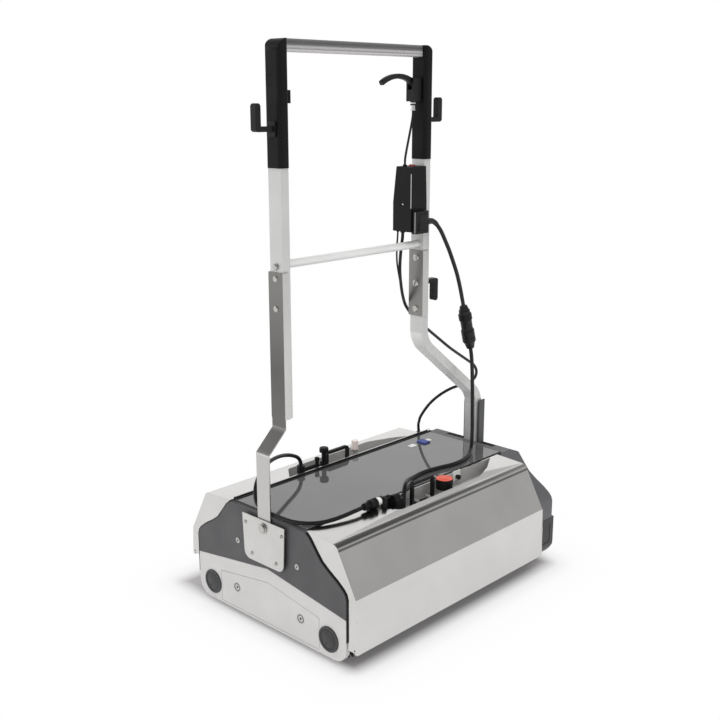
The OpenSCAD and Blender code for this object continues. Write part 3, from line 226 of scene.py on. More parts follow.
def brushed_metal(name, colours, roughness, stretch, grain_mm, depth_mm, metallic=1.0):
    """Sheet with a directional grain. stretch is small along the grain."""
    material = start(name, colours[0], roughness[0], metallic)
    grain = pattern(material, stretch, 1 / (grain_mm * MM), 4.0, 0.6)
    clouds = pattern(material, EVEN, METAL_CLOUDS, 2.0)
    two_tone(material, clouds, colours)
    wire(material, "Roughness", between(material, grain, *roughness))
    relief(material, grain, METAL_RELIEF, depth_mm * MM)
    return material


def moulded(name, colours, roughness, grain_mm, depth_mm, **sockets):
    """Moulded plastic or rubber: a fine tool grain and a faint drift of colour."""
    material = start(name, colours[0], roughness[0], **sockets)
    grain = pattern(material, EVEN, 1 / (grain_mm * MM), 2.0)
    drift = pattern(material, EVEN, PLASTIC_DRIFT, 3.0)
    two_tone(material, drift, colours)
    wire(material, "Roughness", between(material, drift, *roughness))
    relief(material, grain, PLASTIC_RELIEF, depth_mm * MM)
    return material


# Polished stainless sheet: long fine grain along the machine, clear soft reflections
stainless = brushed_metal(
    "stainless_polished_sheet", ("d9d8d6", "d2d1cf"), (0.13, 0.2), LENGTHWISE, 1.2, 0.0008
)
# The same sheet cut and bent for the pivot bracket, light with an upright grain
bright_steel = brushed_metal(
    "stainless_bright_strap", ("d6d5d3", "cccbc9"), (0.24, 0.34), UPRIGHT, 1.0, 0.002
)
# The left strap, painted by heights in metres: painted highlights on the two bends, painted shade
# on the leg between them, and painted shade darkening the channel above, which is satin
strap_painted_light = brushed_metal(
    "stainless_strap_painted_light", ("d2d1cf", "c6c5c3"), (0.26, 0.36), UPRIGHT, 1.0, 0.002
)
STRAP_PAINTED_LIGHT = (
    (0, "c8c6c4"), (0.3855, "c8c6c4"), (0.387, "dddbd9"), (0.3885, "dddbd9"),
    (0.391, "a09e9c"), (0.4265, "a09e9c"), (0.429, "c4c2c0"), (0.4305, "c4c2c0"),
    (0.434, "767472"), (0.55, "6e6c6a"), (0.72, "908e8c"), (1, "908e8c"),
)
graded(strap_painted_light, height_in(strap_painted_light), STRAP_PAINTED_LIGHT)
# Thicker strap steel of the joint's channel, darker and satin
strap_steel = brushed_metal(
    "stainless_satin_strap", ("9a9896", "8b8987"), (0.3, 0.42), UPRIGHT, 0.8, 0.004
)
# Anodised aluminium: pale, soft gloss, with finer drawn lines along the tube
DRAWN_UP, DRAWN_ACROSS = (1, 1, 0.02), (0.02, 1, 1)
anodised_upright = brushed_metal(
    "anodised_aluminium_upright", ("d6d6d5", "cececd"), (0.36, 0.46), DRAWN_UP, 0.8, 0.003, 0.5
)
anodised_rail = brushed_metal(
    "anodised_aluminium_rail", ("ececeb", "e4e4e3"), (0.34, 0.44), DRAWN_ACROSS, 0.8, 0.003, 0.2
)
anodised_bar_painted_shade = brushed_metal(
    "anodised_aluminium_bar_painted_shade",
    ("dedede", "d4d4d4"),
    (0.34, 0.44),
    DRAWN_ACROSS,
    0.8,
    0.003,
    0.5,
)
# The top bar is an extrusion with grooves: painted shade and painted highlights in bands by shares
# of its own height
BAR_PAINTED_SHADE = (
    (0, "c8c6c6"), (0.16, "d2d0d0"), (0.24, "9a9898"), (0.3, "cac8c8"), (0.46, "c0bebe"),
    (0.56, "747474"), (0.84, "6c6c6c"), (0.93, "8c8c8c"), (1, "8a8a8a"),
)
bar_heights = [corner[2] for corner in NODES["top_bar"].bound_box]
bar_share = between(
    anodised_bar_painted_shade, height_in(anodised_bar_painted_shade), 0, 1, min(bar_heights), max(bar_heights)
)
graded(anodised_bar_painted_shade, bar_share, BAR_PAINTED_SHADE)
# Bright zinc plate on fasteners and shafts
zinc = brushed_metal("zinc_plate", ("cfcecb", "b9b8b3"), (0.2, 0.34), EVEN, 1.2, 0.004)
# The panel's cup screws, in a darker zinc than the others
zinc_dark = brushed_metal("zinc_darker", ("9b9a98", "8a8986"), (0.34, 0.46), EVEN, 1.2, 0.004)
# Satin side of the sheet in the recesses, smooth mid grey
recess_satin = brushed_metal(
    "stainless_recess_satin", ("c0bfbd", "b6b5b3"), (0.5, 0.6), LENGTHWISE, 1.2, 0.0005, 0.3
)
# The rolled bend of the tanks, painted dark as the bend's reflection along the press line
bend_painted_shade = brushed_metal(
    "stainless_rolled_bend_painted_shade", ("8a8987", "828180"), (0.3, 0.4), LENGTHWISE, 1.2, 0.0008
)
# Bright plate on the small necks and adjusters, and on the painted highlight strips
chrome = brushed_metal("chrome_plate", ("eceded", "dddede"), (0.06, 0.12), EVEN, 2.0, 0.001)
# Powder-coated sheet inside the machine and the leg's channel
coated_grey = moulded("powder_coat_grey", ("808183", "747577"), (0.42, 0.55), 0.9, 0.02)
coated_dark = moulded("powder_coat_dark", ("4c4d4f", "434446"), (0.36, 0.5), 0.9, 0.02)
# Moulded ABS covers with a fine eroded grain
abs_white = moulded("abs_white_cover", ("d8d6d5", "d2d0cf"), (0.42, 0.5), 0.6, 0.006)
abs_dark = moulded("abs_dark_cover", ("515052", "4a494b"), (0.42, 0.52), 0.6, 0.01)
abs_mid = moulded("abs_housing", ("616063", "5a595b"), (0.42, 0.52), 0.6, 0.01)
abs_black = moulded("abs_black_cover", ("29292b", "232325"), (0.36, 0.46), 0.6, 0.01)
# The switch box, as dark as the grips
box_black = moulded(
    "switch_box_black", ("0b0b0c", "080809"), (0.4, 0.5), 0.8, 0.01, Specular_IOR_Level=0.25
)
# Glass-filled nylon of hooks, fittings and levers: black with a low sheen
nylon_black = moulded(
    "nylon_black", ("18181a", "121213"), (0.36, 0.48), 0.8, 0.012, Specular_IOR_Level=0.3
)
# Moulded grey of the axle caps
cap_grey = moulded("axle_cap_grey", ("343436", "2e2e30"), (0.4, 0.5), 0.8, 0.01)
# Soft-touch black of the corner grips
grip_black = moulded(
    "grip_elastomer", ("0c0c0d", "09090a"), (0.42, 0.54), 0.8, 0.012, Specular_IOR_Level=0.2
)
# Extruded rubber sheath of the cords and hoses
cord_rubber = moulded(
    "cord_rubber", ("1a1a1b", "131314"), (0.36, 0.48), 0.5, 0.008, Specular_IOR_Level=0.4
)
# Matt rubber of the seals, belts and scraper, then the small coloured parts
seal_rubber = moulded("seal_rubber", ("161617", "101011"), (0.5, 0.62), 0.5, 0.01)
filler_orange = moulded("cap_orange", ("e25a40", "d94f38"), (0.34, 0.44), 0.8, 0.008)
vent_pale = moulded("cap_pale", ("f3e6e2", "ecddd8"), (0.4, 0.5), 0.8, 0.008)
switch_red = moulded("switch_red", ("8f2a22", "7f241d"), (0.25, 0.35), 0.8, 0.004)
collar_white = moulded("collar_white", ("f1f1ef", "e6e6e3"), (0.35, 0.45), 0.8, 0.006)
tag_blue = moulded("tag_blue", ("3a4f9e", "33458c"), (0.4, 0.5), 0.8, 0.006)
# Inner parts
trough_plastic = moulded("polyethylene_trough", ("c9c8c5", "bebdb9"), (0.4, 0.5), 1.2, 0.02)
core_plastic = moulded("brush_core_plastic", ("8e8e90", "828284"), (0.4, 0.5), 0.8, 0.01)
drum_rubber = moulded("drum_rubber", ("3c3c3e", "333335"), (0.5, 0.6), 0.8, 0.02)
bristle_nylon = moulded("bristle_nylon", ("262628", "1b1b1d"), (0.35, 0.45), 0.5, 0.002)
# Smoked acrylic lid: grey, clear gloss, a little of the inside shows through
smoked = start("smoked_acrylic", "606061", 0.05, 0.0, 1.9, Alpha=0.9)
two_tone(smoked, pattern(smoked, EVEN, 6.0, 3.0), ("646465", "5a5a5b"))
relief(smoked, pattern(smoked, EVEN, 22.0, 2.0), 0.1, 0.0003)
smoked.surface_render_method = "BLENDED"


# Making of pieces -------------------------------------------------------------


def deselect():
    """Leaves edit mode and selects nothing."""
    if bpy.context.object and bpy.context.object.mode != "OBJECT":
        bpy.ops.object.mode_set(mode="OBJECT")
    bpy.ops.object.select_all(action="DESELECT")


def pick(*objects):
    """Selects just these objects and makes the first one active."""
    deselect()
    for obj in objects:
        obj.select_set(True)
    bpy.context.view_layer.objects.active = objects[0]
    return objects[0]


def apply_place(obj):
    """Moves a piece's place, turn and size into its mesh."""
    pick(obj)
    bpy.ops.object.transform_apply(location=True, rotation=True, scale=True)
    return obj


def smooth(obj, degrees=32):
    """Shades a piece smooth across every edge blunter than degrees."""
    pick(obj)
    bpy.ops.object.shade_smooth_by_angle(angle=math.radians(degrees))
    return obj


def rounded(obj, width, segments=2, degrees=35):
    """Rounds every edge sharper than degrees by a width in millimetres."""
    pick(obj)
    bevel = obj.modifiers.new("edge", "BEVEL")
    bevel.width = width * MM
    bevel.segments = segments
    bevel.limit_method = "ANGLE"
    bevel.angle_limit = math.radians(degrees)
    bpy.ops.object.modifier_apply(modifier="edge")
    smooth(obj)
    flat = obj.modifiers.new("flat", "WEIGHTED_NORMAL")
    flat.keep_sharp = True
    bpy.ops.object.modifier_apply(modifier="flat")
    return obj


def block(low, high):
    """A box between two corners in millimetres, to be shaped further."""
    low, high = Vector(low), Vector(high)
    deselect()
    bpy.ops.mesh.primitive_cube_add(size=1, location=(low + high) / 2 * MM)
    obj = bpy.context.object
    obj.scale = (high - low) * MM
    return apply_place(obj)


def edit_all(obj):
    """Enters edit mode with the whole mesh selected."""
    pick(obj)
    bpy.ops.object.mode_set(mode="EDIT")
    bpy.ops.mesh.select_all(action="SELECT")


def choose_faces(obj, wanted):
    """Enters edit mode with the faces selected for which wanted(centre, normal) is true."""
    pick(obj)
    bpy.ops.object.mode_set(mode="EDIT")
    bpy.ops.mesh.select_mode(type="FACE")
    bpy.ops.mesh.select_all(action="DESELECT")
    bpy.ops.object.mode_set(mode="OBJECT")
    for face in obj.data.polygons:
        face.select = bool(wanted(face.center, face.normal))
    bpy.ops.object.mode_set(mode="EDIT")


def turned(start_at, along, steps, sides=32):
    """A turned piece: steps are (distance along the axis, radius) in millimetres."""
    height, radius = steps[0]
    deselect()
    bpy.ops.mesh.primitive_circle_add(
        vertices=sides, radius=radius * MM, fill_type="NGON", location=(0, 0, height * MM)
    )
    obj = apply_place(bpy.context.object)
    edit_all(obj)
    for next_height, next_radius in steps[1:]:
        bpy.ops.mesh.extrude_region_move(
            TRANSFORM_OT_translate={"value": (0, 0, (next_height - height) * MM)}
        )
        grow = next_radius / radius
        bpy.ops.transform.resize(
            value=(grow, grow, 1), center_override=(0, 0, next_height * MM)
        )
        height, radius = next_height, next_radius
    bpy.ops.mesh.select_all(action="SELECT")
    bpy.ops.mesh.normals_make_consistent(inside=False)
    bpy.ops.object.mode_set(mode="OBJECT")
    obj.rotation_euler = Vector(along).to_track_quat("Z", "X").to_euler()
    obj.location = Vector(start_at) * MM
    return apply_place(obj)


def fluted(obj, axis, centre, beyond, span, sides, step, depth, each=True):
    """Sinks a turned piece's side faces, step in and step out, by a depth in millimetres.

    The faces lie beyond a radius from the axis, an index, and within a span along it. They
    are counted by their angle, because their order in the mesh isn't the same each run.
    """
    across = [k for k in range(3) if k != axis]
    low, high = span

    def wanted(place, normal):
        a, b = (place[k] - centre[k] * MM for k in across)
        number = math.floor(math.atan2(b, a) / math.tau * sides)
        aside = abs(normal[axis]) < 0.3 and math.hypot(a, b) > beyond * MM
        return aside and low * MM < place[axis] < high * MM and number % (2 * step) < step

    choose_faces(obj, wanted)
    bpy.ops.mesh.inset(thickness=0.3 * MM, depth=-depth * MM, use_individual=each)
    bpy.ops.object.mode_set(mode="OBJECT")


def joined(*objects):
    """Joins pieces into the first of them."""
    pick(*objects)
    if len(objects) > 1:
        bpy.ops.object.join()
    return objects[0]


def copied(obj, offset=(0, 0, 0), turn=None, about=(0, 0, 0)):
    """A copy with its own mesh, moved by millimetres or turned by a matrix about a point."""
    pick(obj)
    bpy.ops.object.duplicate(linked=False)
    twin = bpy.context.object
    if turn is not None:
        centre = Matrix.Translation(m(*about))
        twin.matrix_world = centre @ turn @ centre.inverted() @ twin.matrix_world
    twin.location += m(*offset)
    return apply_place(twin)


def finished(obj, name, material, body, slot, *stands_for):
    """Names a piece, gives it its finish and puts it on its body."""
    obj.name = obj.data.name = name
    obj.data.materials.clear()
    obj.data.materials.append(material)
    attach(obj, body)
    if stands_for:
        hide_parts(*stands_for)
    return obj


def body_holding(node):
    """The body that a CAD node rides on."""
    return NODES[node]["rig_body"]


def slot_of(node):
    """The material slot of a CAD node's row."""
    rows = frame["record"]["subparts"]
    return next(row["material_slot"] for row in rows if row["node"] == node)


# Points this near are one, and faces this flat to each other are one
MERGE_DISTANCE, FLAT_ANGLE = 0.01 * MM, math.radians(0.8)


def cad_copy(node):
    """A merged copy of a CAD solid's mesh, ready to be shaped."""
    pick(NODES[node])
    bpy.ops.object.duplicate(linked=False)
    obj = bpy.context.object
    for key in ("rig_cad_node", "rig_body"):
        del obj[key]
    bpy.ops.object.parent_clear(type="CLEAR")
    edit_all(obj)
    bpy.ops.mesh.remove_doubles(threshold=MERGE_DISTANCE)
    bpy.ops.mesh.dissolve_limited(angle_limit=FLAT_ANGLE)
    bpy.ops.object.mode_set(mode="OBJECT")
    return obj


def dressed(node, material, edge, segments):
    """The CAD solid with its edges rounded as they were moulded or bent."""
    obj = rounded(cad_copy(node), edge, segments)
    finished(obj, node + "_dressed", material, body_holding(node), slot_of(node), node)


def detail(obj, name, material, near):
    """A small piece that rides with a node's body."""
    finished(obj, name, material, body_holding(near), slot_of(near))


# CAD solids that keep their shape ---------------------------------------------

KEPT = {
    "frame_plates": coated_grey,
    "tie_rods": zinc,
    "motor": coated_grey,
    "drive_belts": seal_rubber,
    "shaft_bearings": zinc,
    "motor_pinion": zinc,
    "layshaft": zinc,
    "brush_core_front": core_plastic,
    "brush_core_rear": core_plastic,
    "drum_scraper": seal_rubber,
    "cross_bar": anodised_rail,
}
for node_name, finish in KEPT.items():
    NODES[node_name].data.materials.clear()
    NODES[node_name].data.materials.append(finish)
    smooth(NODES[node_name])

# CAD solids whose edges are rounded as moulded, bent or cut: finish, edge, segments
DRESSED = {
    "brush_hoods": (coated_grey, 0.4, 1),
    "end_cover_upper": (abs_dark, 1.2, 3),
    "end_cover_lower": (abs_white, 1.2, 3),
    "access_panel": (abs_white, 1.0, 3),
    "pivot_bracket": (bright_steel, 0.5, 2),
    "pivot_pins": (zinc, 0.5, 2),
    "drive_housing": (abs_mid, 1.2, 3),
    "drive_lower_cover": (abs_black, 1.2, 3),
    "smoked_lid": (smoked, 0.8, 2),
    "edge_seals": (seal_rubber, 0.7, 2),
    "recovery_tank": (trough_plastic, 0.8, 2),
    "cable_glands": (nylon_black, 0.8, 2),
    "pickup_drum": (drum_rubber, 0.4, 1),
    "front_tank_shell": (stainless, 0.7, 2),
    "rear_tank_shell": (stainless, 0.7, 2),
    "front_bail": (nylon_black, 2.4, 4),
    "rear_bail": (nylon_black, 2.4, 4),
    "rear_cap": (vent_pale, 1.2, 3),
    "pump_block": (nylon_black, 1.2, 3),
    "rear_fittings": (nylon_black, 0.8, 2),
    "left_strut": (strap_painted_light, 0.6, 2),
    "left_tube": (anodised_upright, 1.1, 3),
    "right_tube": (anodised_upright, 1.1, 3),
    "joint_channel": (strap_steel, 0.6, 2),
    "leg_channel": (coated_dark, 0.6, 2),
    "top_bar": (anodised_bar_painted_shade, 0.3, 1),
    "left_grip": (grip_black, 1.6, 3),
    "right_grip": (grip_black, 1.6, 3),
    "cable_hooks": (nylon_black, 1.8, 3),
    "switch_box": (box_black, 1.4, 3),
    "lever_bracket": (nylon_black, 1.2, 3),
    "squeeze_lever": (nylon_black, 1.6, 3),
    "rocker": (switch_red, 0.8, 2),
}
for node_name, (finish, edge, segments) in DRESSED.items():
    dressed(node_name, finish, edge, segments)


def faced(names, finishes, choose):
    """Gives some faces of dressed solids another finish; choose(face) is its number or 0."""
    for name in names:
        data = bpy.data.objects[name + "_dressed"].data
        for finish in finishes:
            data.materials.append(finish)
        for face in data.polygons:
            number = choose(face)
            if number:
                face.material_index = number


# Where the tanks' recesses and the rolled bends above their slopes are, in metres
RECESS_X, RECESS_Y, RECESS_Z = 0.262, 0.186, (0.2235, 0.2535)
ROLL_Y, ROLL_Z = (0.1985, 0.2045), (0.2396, 0.2437)
# The channels' flanges start above this height, in metres
FLANGE_Z = 0.44
# The arm's faces are those that slope by their normal and are larger than this, in m2
ARM_SLOPE, ARM_FACE = (0.15, 0.95), 1e-4


def within(value, span):
    """Whether a value lies between a span's two ends."""
    return span[0] < value < span[1]


def tank_finish(face):
    """Satin in the recess, painted dark reflection on the roll."""
    across, back, up = abs(face.center.x), abs(face.center.y), face.center.z
    if within(up, RECESS_Z) and back < RECESS_Y and across < RECESS_X:
        return 1
    return 2 if within(up, ROLL_Z) and within(back, ROLL_Y) else 0


faced(["front_tank_shell", "rear_tank_shell"], [recess_satin, bend_painted_shade], tank_finish)
# Painted highlights: the channels' side flanges get the lighter bracket steel, and the sloping
# faces of the right tube's arm the paler rail finish
faced(
    ["left_strut", "joint_channel"],
    [bright_steel],
    lambda face: abs(face.normal.y) > 0.8 and face.center.z > FLANGE_Z,
)
faced(
    ["right_tube"],
    [anodised_rail],
    lambda face: within(abs(face.normal.z), ARM_SLOPE) and face.area > ARM_FACE,
)

# Black gasket and bright flange along the lid's rear edge
gasket = block((-332, 104.5, 256.9), (299, 111.6, 258.6))
detail(rounded(gasket, 0.6, 2), "lid_rear_gasket", seal_rubber, "edge_seals")
flange_strip = block((-331, 112.2, 260.3), (300, 115.8, 261.1))
detail(rounded(flange_strip, 0.3, 2), "lid_rear_flange", bright_steel, "frame_plates")

# Blue clip between two pale tags at the lid's rear corner
LID_TOP = 256.8
clip = rounded(block((206, 50, LID_TOP), (228, 76, 261)), 1.4, 3)
detail(clip, "lid_clip", tag_blue, "edge_seals")
tags = [
    rounded(block((low, 58, LID_TOP), (high, 72, 258.4)), 0.5, 2)
    for low, high in ((168, 188), (231, 244))
]
detail(joined(*tags), "lid_tags", collar_white, "edge_seals")


# Small pieces: screws, bolts, caps and fittings ---------------------------------

# Outer faces of the left covers, of the pivot bracket and of the switch box, along X
LEFT, BRACKET_X = -344, -352.5
BOX_X = NODES["switch_box"].bound_box[0][0] / MM
# The brushes' axles, one each side of the middle
AXLE_Y, AXLE_Z = 179, 50.5
# A screw's socket as a share of its head
SOCKET_SHARE = 0.36


def socket_screw(at, radius, reach, dish=0.25, socket=1.4):
    """A dished screw head with a six-sided socket, and its shank, inwards along X."""
    hollow = radius * SOCKET_SHARE
    head = turned(
        at,
        X,
        [(reach, radius * 0.45), (2.2, radius * 0.45), (1.9, radius), (0.5, radius),
         (0, radius * 0.9), (0.2, radius * 0.8), (dish, radius * 0.66), (dish, hollow)],
        36,
    )
    sides = turned(at, X, [(dish, hollow), (dish + socket, hollow * 0.96)], 6)
    return joined(head, sides)


def dome_bolt(at, radius, washer, reach):
    """A domed head on a washer, with its shank, inwards along X."""
    dome = [(reach, radius * 0.55), (0, radius * 0.55), (0, washer), (-0.5, washer + 0.1),
            (-1.1, washer - 0.2), (-1.1, radius), (-1.9, radius * 0.95)]
    dome += [
        (-1.9 - 1.5 * math.sin(math.radians(a)), radius * 0.95 * math.cos(math.radians(a)))
        for a in (20, 40, 60, 80)
    ]
    return smooth(turned(at, X, dome, 36), 40)


SPACER_STEPS = [(0, 3), (0, 5), (5.8, 5), (5.8, 3)]
end_rows = [socket_screw((LEFT - 1.5, y, 174), 6.2, 18) for y in (-91, 91)]
for y, z in ((-55, 229), (55, 229), (-37, 165), (37, 165)):
    end_rows.append(socket_screw((BRACKET_X - 1.5, y, z), 4.5, 24))
    end_rows.append(turned((BRACKET_X + 2.6, y, z), X, SPACER_STEPS, 24))
finished(
    smooth(joined(*end_rows), 40), "end_cover_screws", zinc, "chassis", "zinc_steel", "end_screws"
)
panel_screws = [socket_screw((LEFT - 1.5, y, 63.9), 9.4, 18, 1.6, 3.0) for y in (-98.6, 98.6)]
detail(smooth(joined(*panel_screws), 40), "panel_screws", zinc_dark, "end_screws")

bolt_rows = [dome_bolt((-304.5, 0, z), 5.6, 6.6, 9.5) for z in (755.6, 732.5, 673.6)]
bolt_rows += [dome_bolt((108, 0, z), 7.6, 8.4, 9) for z in (728.6, 671, 614)]
finished(joined(*bolt_rows), "handle_bolts", zinc, "handle", "zinc_steel", "frame_bolts")


def lobed_cap(y):
    """A brush axle's cap: a ring round a nearly flush disc with a three-lobed hand grip."""
    rings = (
        (LEFT - 3, 64, [(1.3, 20.2), (0.3, 20.8), (0, 21.4), (0, 25.6), (0.8, 26.6), (3, 26.6),
                        (3, 22.4), (8, 22.2), (8, 6)]),
        (LEFT - 2.5, 64, [(0, 6), (0, 18.8), (0.5, 19.6), (1.4, 19.6), (1.4, 21)]),
        (LEFT - 2.8, 48, [(0, 6), (0, 8.4), (0.3, 8.8), (1.6, 9)]),
        (LEFT - 2.6, 32, [(0, 0.5), (0, 5.2), (0.2, 6.4)]),
    )
    parts = [turned((x, y, AXLE_Z), X, steps, sides) for x, sides, steps in rings]
    for turn in (90, 210, 330):
        lobe = block((LEFT - 2.95, y - 1.5, AXLE_Z + 8.8), (LEFT - 1.8, y + 1.5, AXLE_Z + 16))
        spin = Matrix.Rotation(math.radians(turn), 4, "X")
        parts.append(copied(rounded(lobe, 0.4, 2), turn=spin, about=(LEFT, y, AXLE_Z)))
        bpy.data.objects.remove(lobe)
    return joined(*parts)


finished(
    smooth(joined(lobed_cap(-AXLE_Y), lobed_cap(AXLE_Y))),
    "axle_cap_grips",
    cap_grey,
    "chassis",
    "black_plastic",
    "axle_caps",
)

# Filler cap of the front tank: an orange disc on a black ribbed skirt
CAP_X, CAP_Y, CAP_Z = 46, -143, 243
skirt = turned(
    (CAP_X, CAP_Y, CAP_Z),
    Z,
    [(13, 14.6), (0.6, 14.6), (0, 15.4), (0, 17.6), (0.8, 18.4), (16.5, 18.9), (17.6, 19.4),
     (22, 19.4), (22.6, 18.8), (22.6, 6)],
    48,
)
fluted(skirt, 2, (CAP_X, CAP_Y, CAP_Z), 17.8, (244.2, 259.5), 48, 1, 0.7)
finished(smooth(skirt, 30), "front_cap_skirt", nylon_black, "front_cap", "black_plastic")
lid_disc = turned(
    (CAP_X, CAP_Y, CAP_Z + 22),
    Z,
    [(0, 6), (0, 18.2), (1, 18.4), (1.5, 17.8), (1.6, 16.4), (1.2, 13.5), (1.1, 12),
     (1.8, 10.6), (1.9, 5)],
    64,
)
finished(
    smooth(lid_disc, 30),
    "front_cap_disc",
    filler_orange,
    "front_cap",
    "orange_plastic",
    "front_cap",
)

# Knob of the rear valve: a fluted head on a collar
KNOB_PLACE = (-59, 125.5, 266.3)
knob = turned(
    KNOB_PLACE,
    Z,
    [(0, 3), (0, 5.2), (1.5, 5.5), (18, 5.5), (20, 7.5), (21, 9.6), (22, 10.5), (30, 10.5),
     (32, 9.6), (32.7, 7.5), (32.4, 4)],
    48,
)
fluted(knob, 2, KNOB_PLACE, 9.9, (289, 296.3), 48, 2, 1, each=False)
finished(
    smooth(knob, 30), "rear_valve_knob", nylon_black, "rear_knob", "black_plastic", "rear_knob"
)

# Post and pipe beside the rear valve, towards the hose
valve_post = turned(
    (-81, 125.5, 224.3),
    Z,
    [(0, 3), (0, 6.4), (4, 6.4), (5, 4.4), (48, 4.4), (49, 5.6), (55, 5.6), (56.5, 3.4)],
    32,
)
valve_pipe = turned((-127, 125.5, 262), X, [(0, 2), (0, 3.6), (43, 3.6), (43, 2)], 24)
detail(smooth(joined(valve_post, valve_pipe)), "rear_valve_post", nylon_black, "rear_fittings")

# Painted highlights as bright strips along the front corners of the switch box and of the plug, and
# a screw
highlight_strips = [
    rounded(block((x - 0.5, y - 0.5, low), (x + 0.7, y + 0.7, high)), 0.25, 1)
    for x, y, low, high in ((BOX_X, -26, 841, 914), (63, -35, 789, 833))
]
box_screw = dome_bolt((BOX_X + 1.4, -3, 849), 2, 2.4, 4)
detail(joined(*highlight_strips, box_screw), "switch_box_highlight_strips", chrome, "switch_box")

# Bright neck of the rear vent cap and adjuster of the lever's cable
vent_neck = turned(
    (60, 143, 255.4), Z, [(0, 3), (0, 8.4), (0.6, 9.2), (4.2, 9.2), (4.7, 8.4), (4.7, 3)], 40
)
detail(smooth(vent_neck), "rear_vent_neck", chrome, "rear_tank_shell")
adjuster = turned(
    (92, 0, 1060),
    -Z,
    [(0, 2.6), (0, 6.6), (3, 6.6), (3.6, 5.4), (12, 5.4), (13, 6), (16.6, 6), (17.4, 2.6)],
    24,
)
detail(smooth(adjuster), "lever_cable_adjuster", chrome, "lever_bracket")

# Fittings of the front tank: barbed coupling, white collar, tee and drain elbow
COUPLING_Y, COUPLING_Z = -130, 266.3
BARBS, BARB_PITCH = 5, 3
barbs = [(0, 4.6), (0, 6.6)]
for k in range(BARBS):
    barb_at = BARB_PITCH * k
    barbs += [(2 + barb_at, 7.9), (4.4 + barb_at, 7.9), (4.5 + barb_at, 6.9)]
barbs += [(17.5, 6.9), (17.5, 9.6), (18.5, 10.4), (36, 10.4), (37, 9.4), (37, 5)]
coupling = turned((-196, COUPLING_Y, COUPLING_Z), X, barbs, 40)
fluted(coupling, 0, (0, COUPLING_Y, COUPLING_Z), 10.2, (-177.5, -160), 40, 1, 0.9)
tee = turned(
    (-146.4, COUPLING_Y, COUPLING_Z), X, [(0, 4), (0, 6), (27.1, 6), (27.1, 4)], 32
)
tee_nut = turned((-146.8, COUPLING_Y, COUPLING_Z), X, [(0, 5), (0, 9.2), (9, 9.2), (9, 5)], 6)
standpipe = turned(
    (-140, -136, 224.3),
    Z,
    [(0, 5), (0, 8.4), (5, 8.4), (5.6, 6.8), (44, 6.8), (47.5, 5.6), (48.8, 3)],
    40,
)
elbow = turned(
    (-136, -136, 242),
    -Y,
    [(-4, 3), (-4, 6), (5.4, 6), (6, 7.4), (8.2, 7.4), (8.6, 6.9), (9.6, 6.9), (10, 7.4),
     (12.6, 7.4), (13, 6.4), (13, 4.2), (9.5, 4)],
    40,
)
# Side knob: ten flats on a square pale plate
knob_plate = rounded(block((104, -121, 236), (130, -119.3, 259)), 0.8, 2)
knob_head = turned(
    (116, -119.6, 245),
    -Y,
    [(0, 2), (0, 4.4), (4, 4.4), (4.6, 5.4), (9.6, 6), (10.8, 5.2), (11.2, 3)],
    10,
)
finished(
    smooth(joined(coupling, tee, rounded(tee_nut, 0.6, 2), standpipe, elbow), 30),
    "front_fittings_set",
    nylon_black,
    "front_tank",
    "black_plastic",
    "front_fittings",
)
finished(rounded(knob_head, 0.4, 2), "front_side_knob", nylon_black, "front_tank", "black_plastic")
finished(knob_plate, "front_knob_plate", collar_white, "front_tank", "white_plastic")
collar = turned(
    (-159, COUPLING_Y, COUPLING_Z),
    X,
    [(0.2, 5), (0.2, 7.4), (1, 8.2), (11, 8.2), (12, 7.4), (12, 5)],
    40,
)
finished(
    smooth(collar, 30), "front_coupling_collar", collar_white, "front_tank", "white_plastic"
)


# Cord plug and inline connector -----------------------------------------------

plug_body = block((63, -41, 787), (101, -28.7, 835))
choose_faces(plug_body, lambda c, n: n.y < -0.5)
bpy.ops.mesh.inset(thickness=6 * MM, depth=0)
bpy.ops.mesh.extrude_region_move(TRANSFORM_OT_translate={"value": (0, -2.2 * MM, 0)})
bpy.ops.transform.resize(value=(0.9, 1, 0.94))
bpy.ops.object.mode_set(mode="OBJECT")
rounded(plug_body, 2.6, 3)
GRIP_BARS, GRIP_PITCH = 4, 4.6
grip_bars = [
    rounded(block((67, -44, 806 - GRIP_PITCH * k), (97, -42.6, 808.4 - GRIP_PITCH * k)), 0.6, 2)
    for k in range(GRIP_BARS)
]
finished(
    joined(plug_body, *grip_bars), "cord_plug", nylon_black, "handle", slot_of("cord_plugs")
)
# The connector's outline from its upper end down: neck, four ribs, waist, nut and boot
RIBS, RIB_PITCH = 4, 3.6
connector_steps = [(0.1, 4.7), (0.1, 8.2), (1, 9), (9, 10.6), (10.5, 12.6), (20, 13.4)]
for k in range(RIBS):
    rib_at = RIB_PITCH * k
    connector_steps += [
        (20.5 + rib_at, 15.4), (22.8 + rib_at, 15.4), (23 + rib_at, 14.2), (24 + rib_at, 14.2)
    ]
connector_steps += [
    (36, 13.6), (56, 13.2), (58, 13.6), (60, 14.2), (61, 15.4), (75, 15.4), (76, 14.6),
    (78, 14.6), (79, 15.4), (89, 15.4), (91, 13.6), (96, 11.6), (105, 9.6), (106.9, 8.8),
    (107.2, 4.7),
]
CONNECTOR_TOP, CONNECTOR_WAY = (222, -46, 609.5), (30, 0, -103)
connector = smooth(turned(CONNECTOR_TOP, CONNECTOR_WAY, connector_steps, 40), 28)
finished(connector, "inline_connector", nylon_black, "handle", slot_of("cord_plugs"), "cord_plugs")


# Cords ------------------------------------------------------------------------

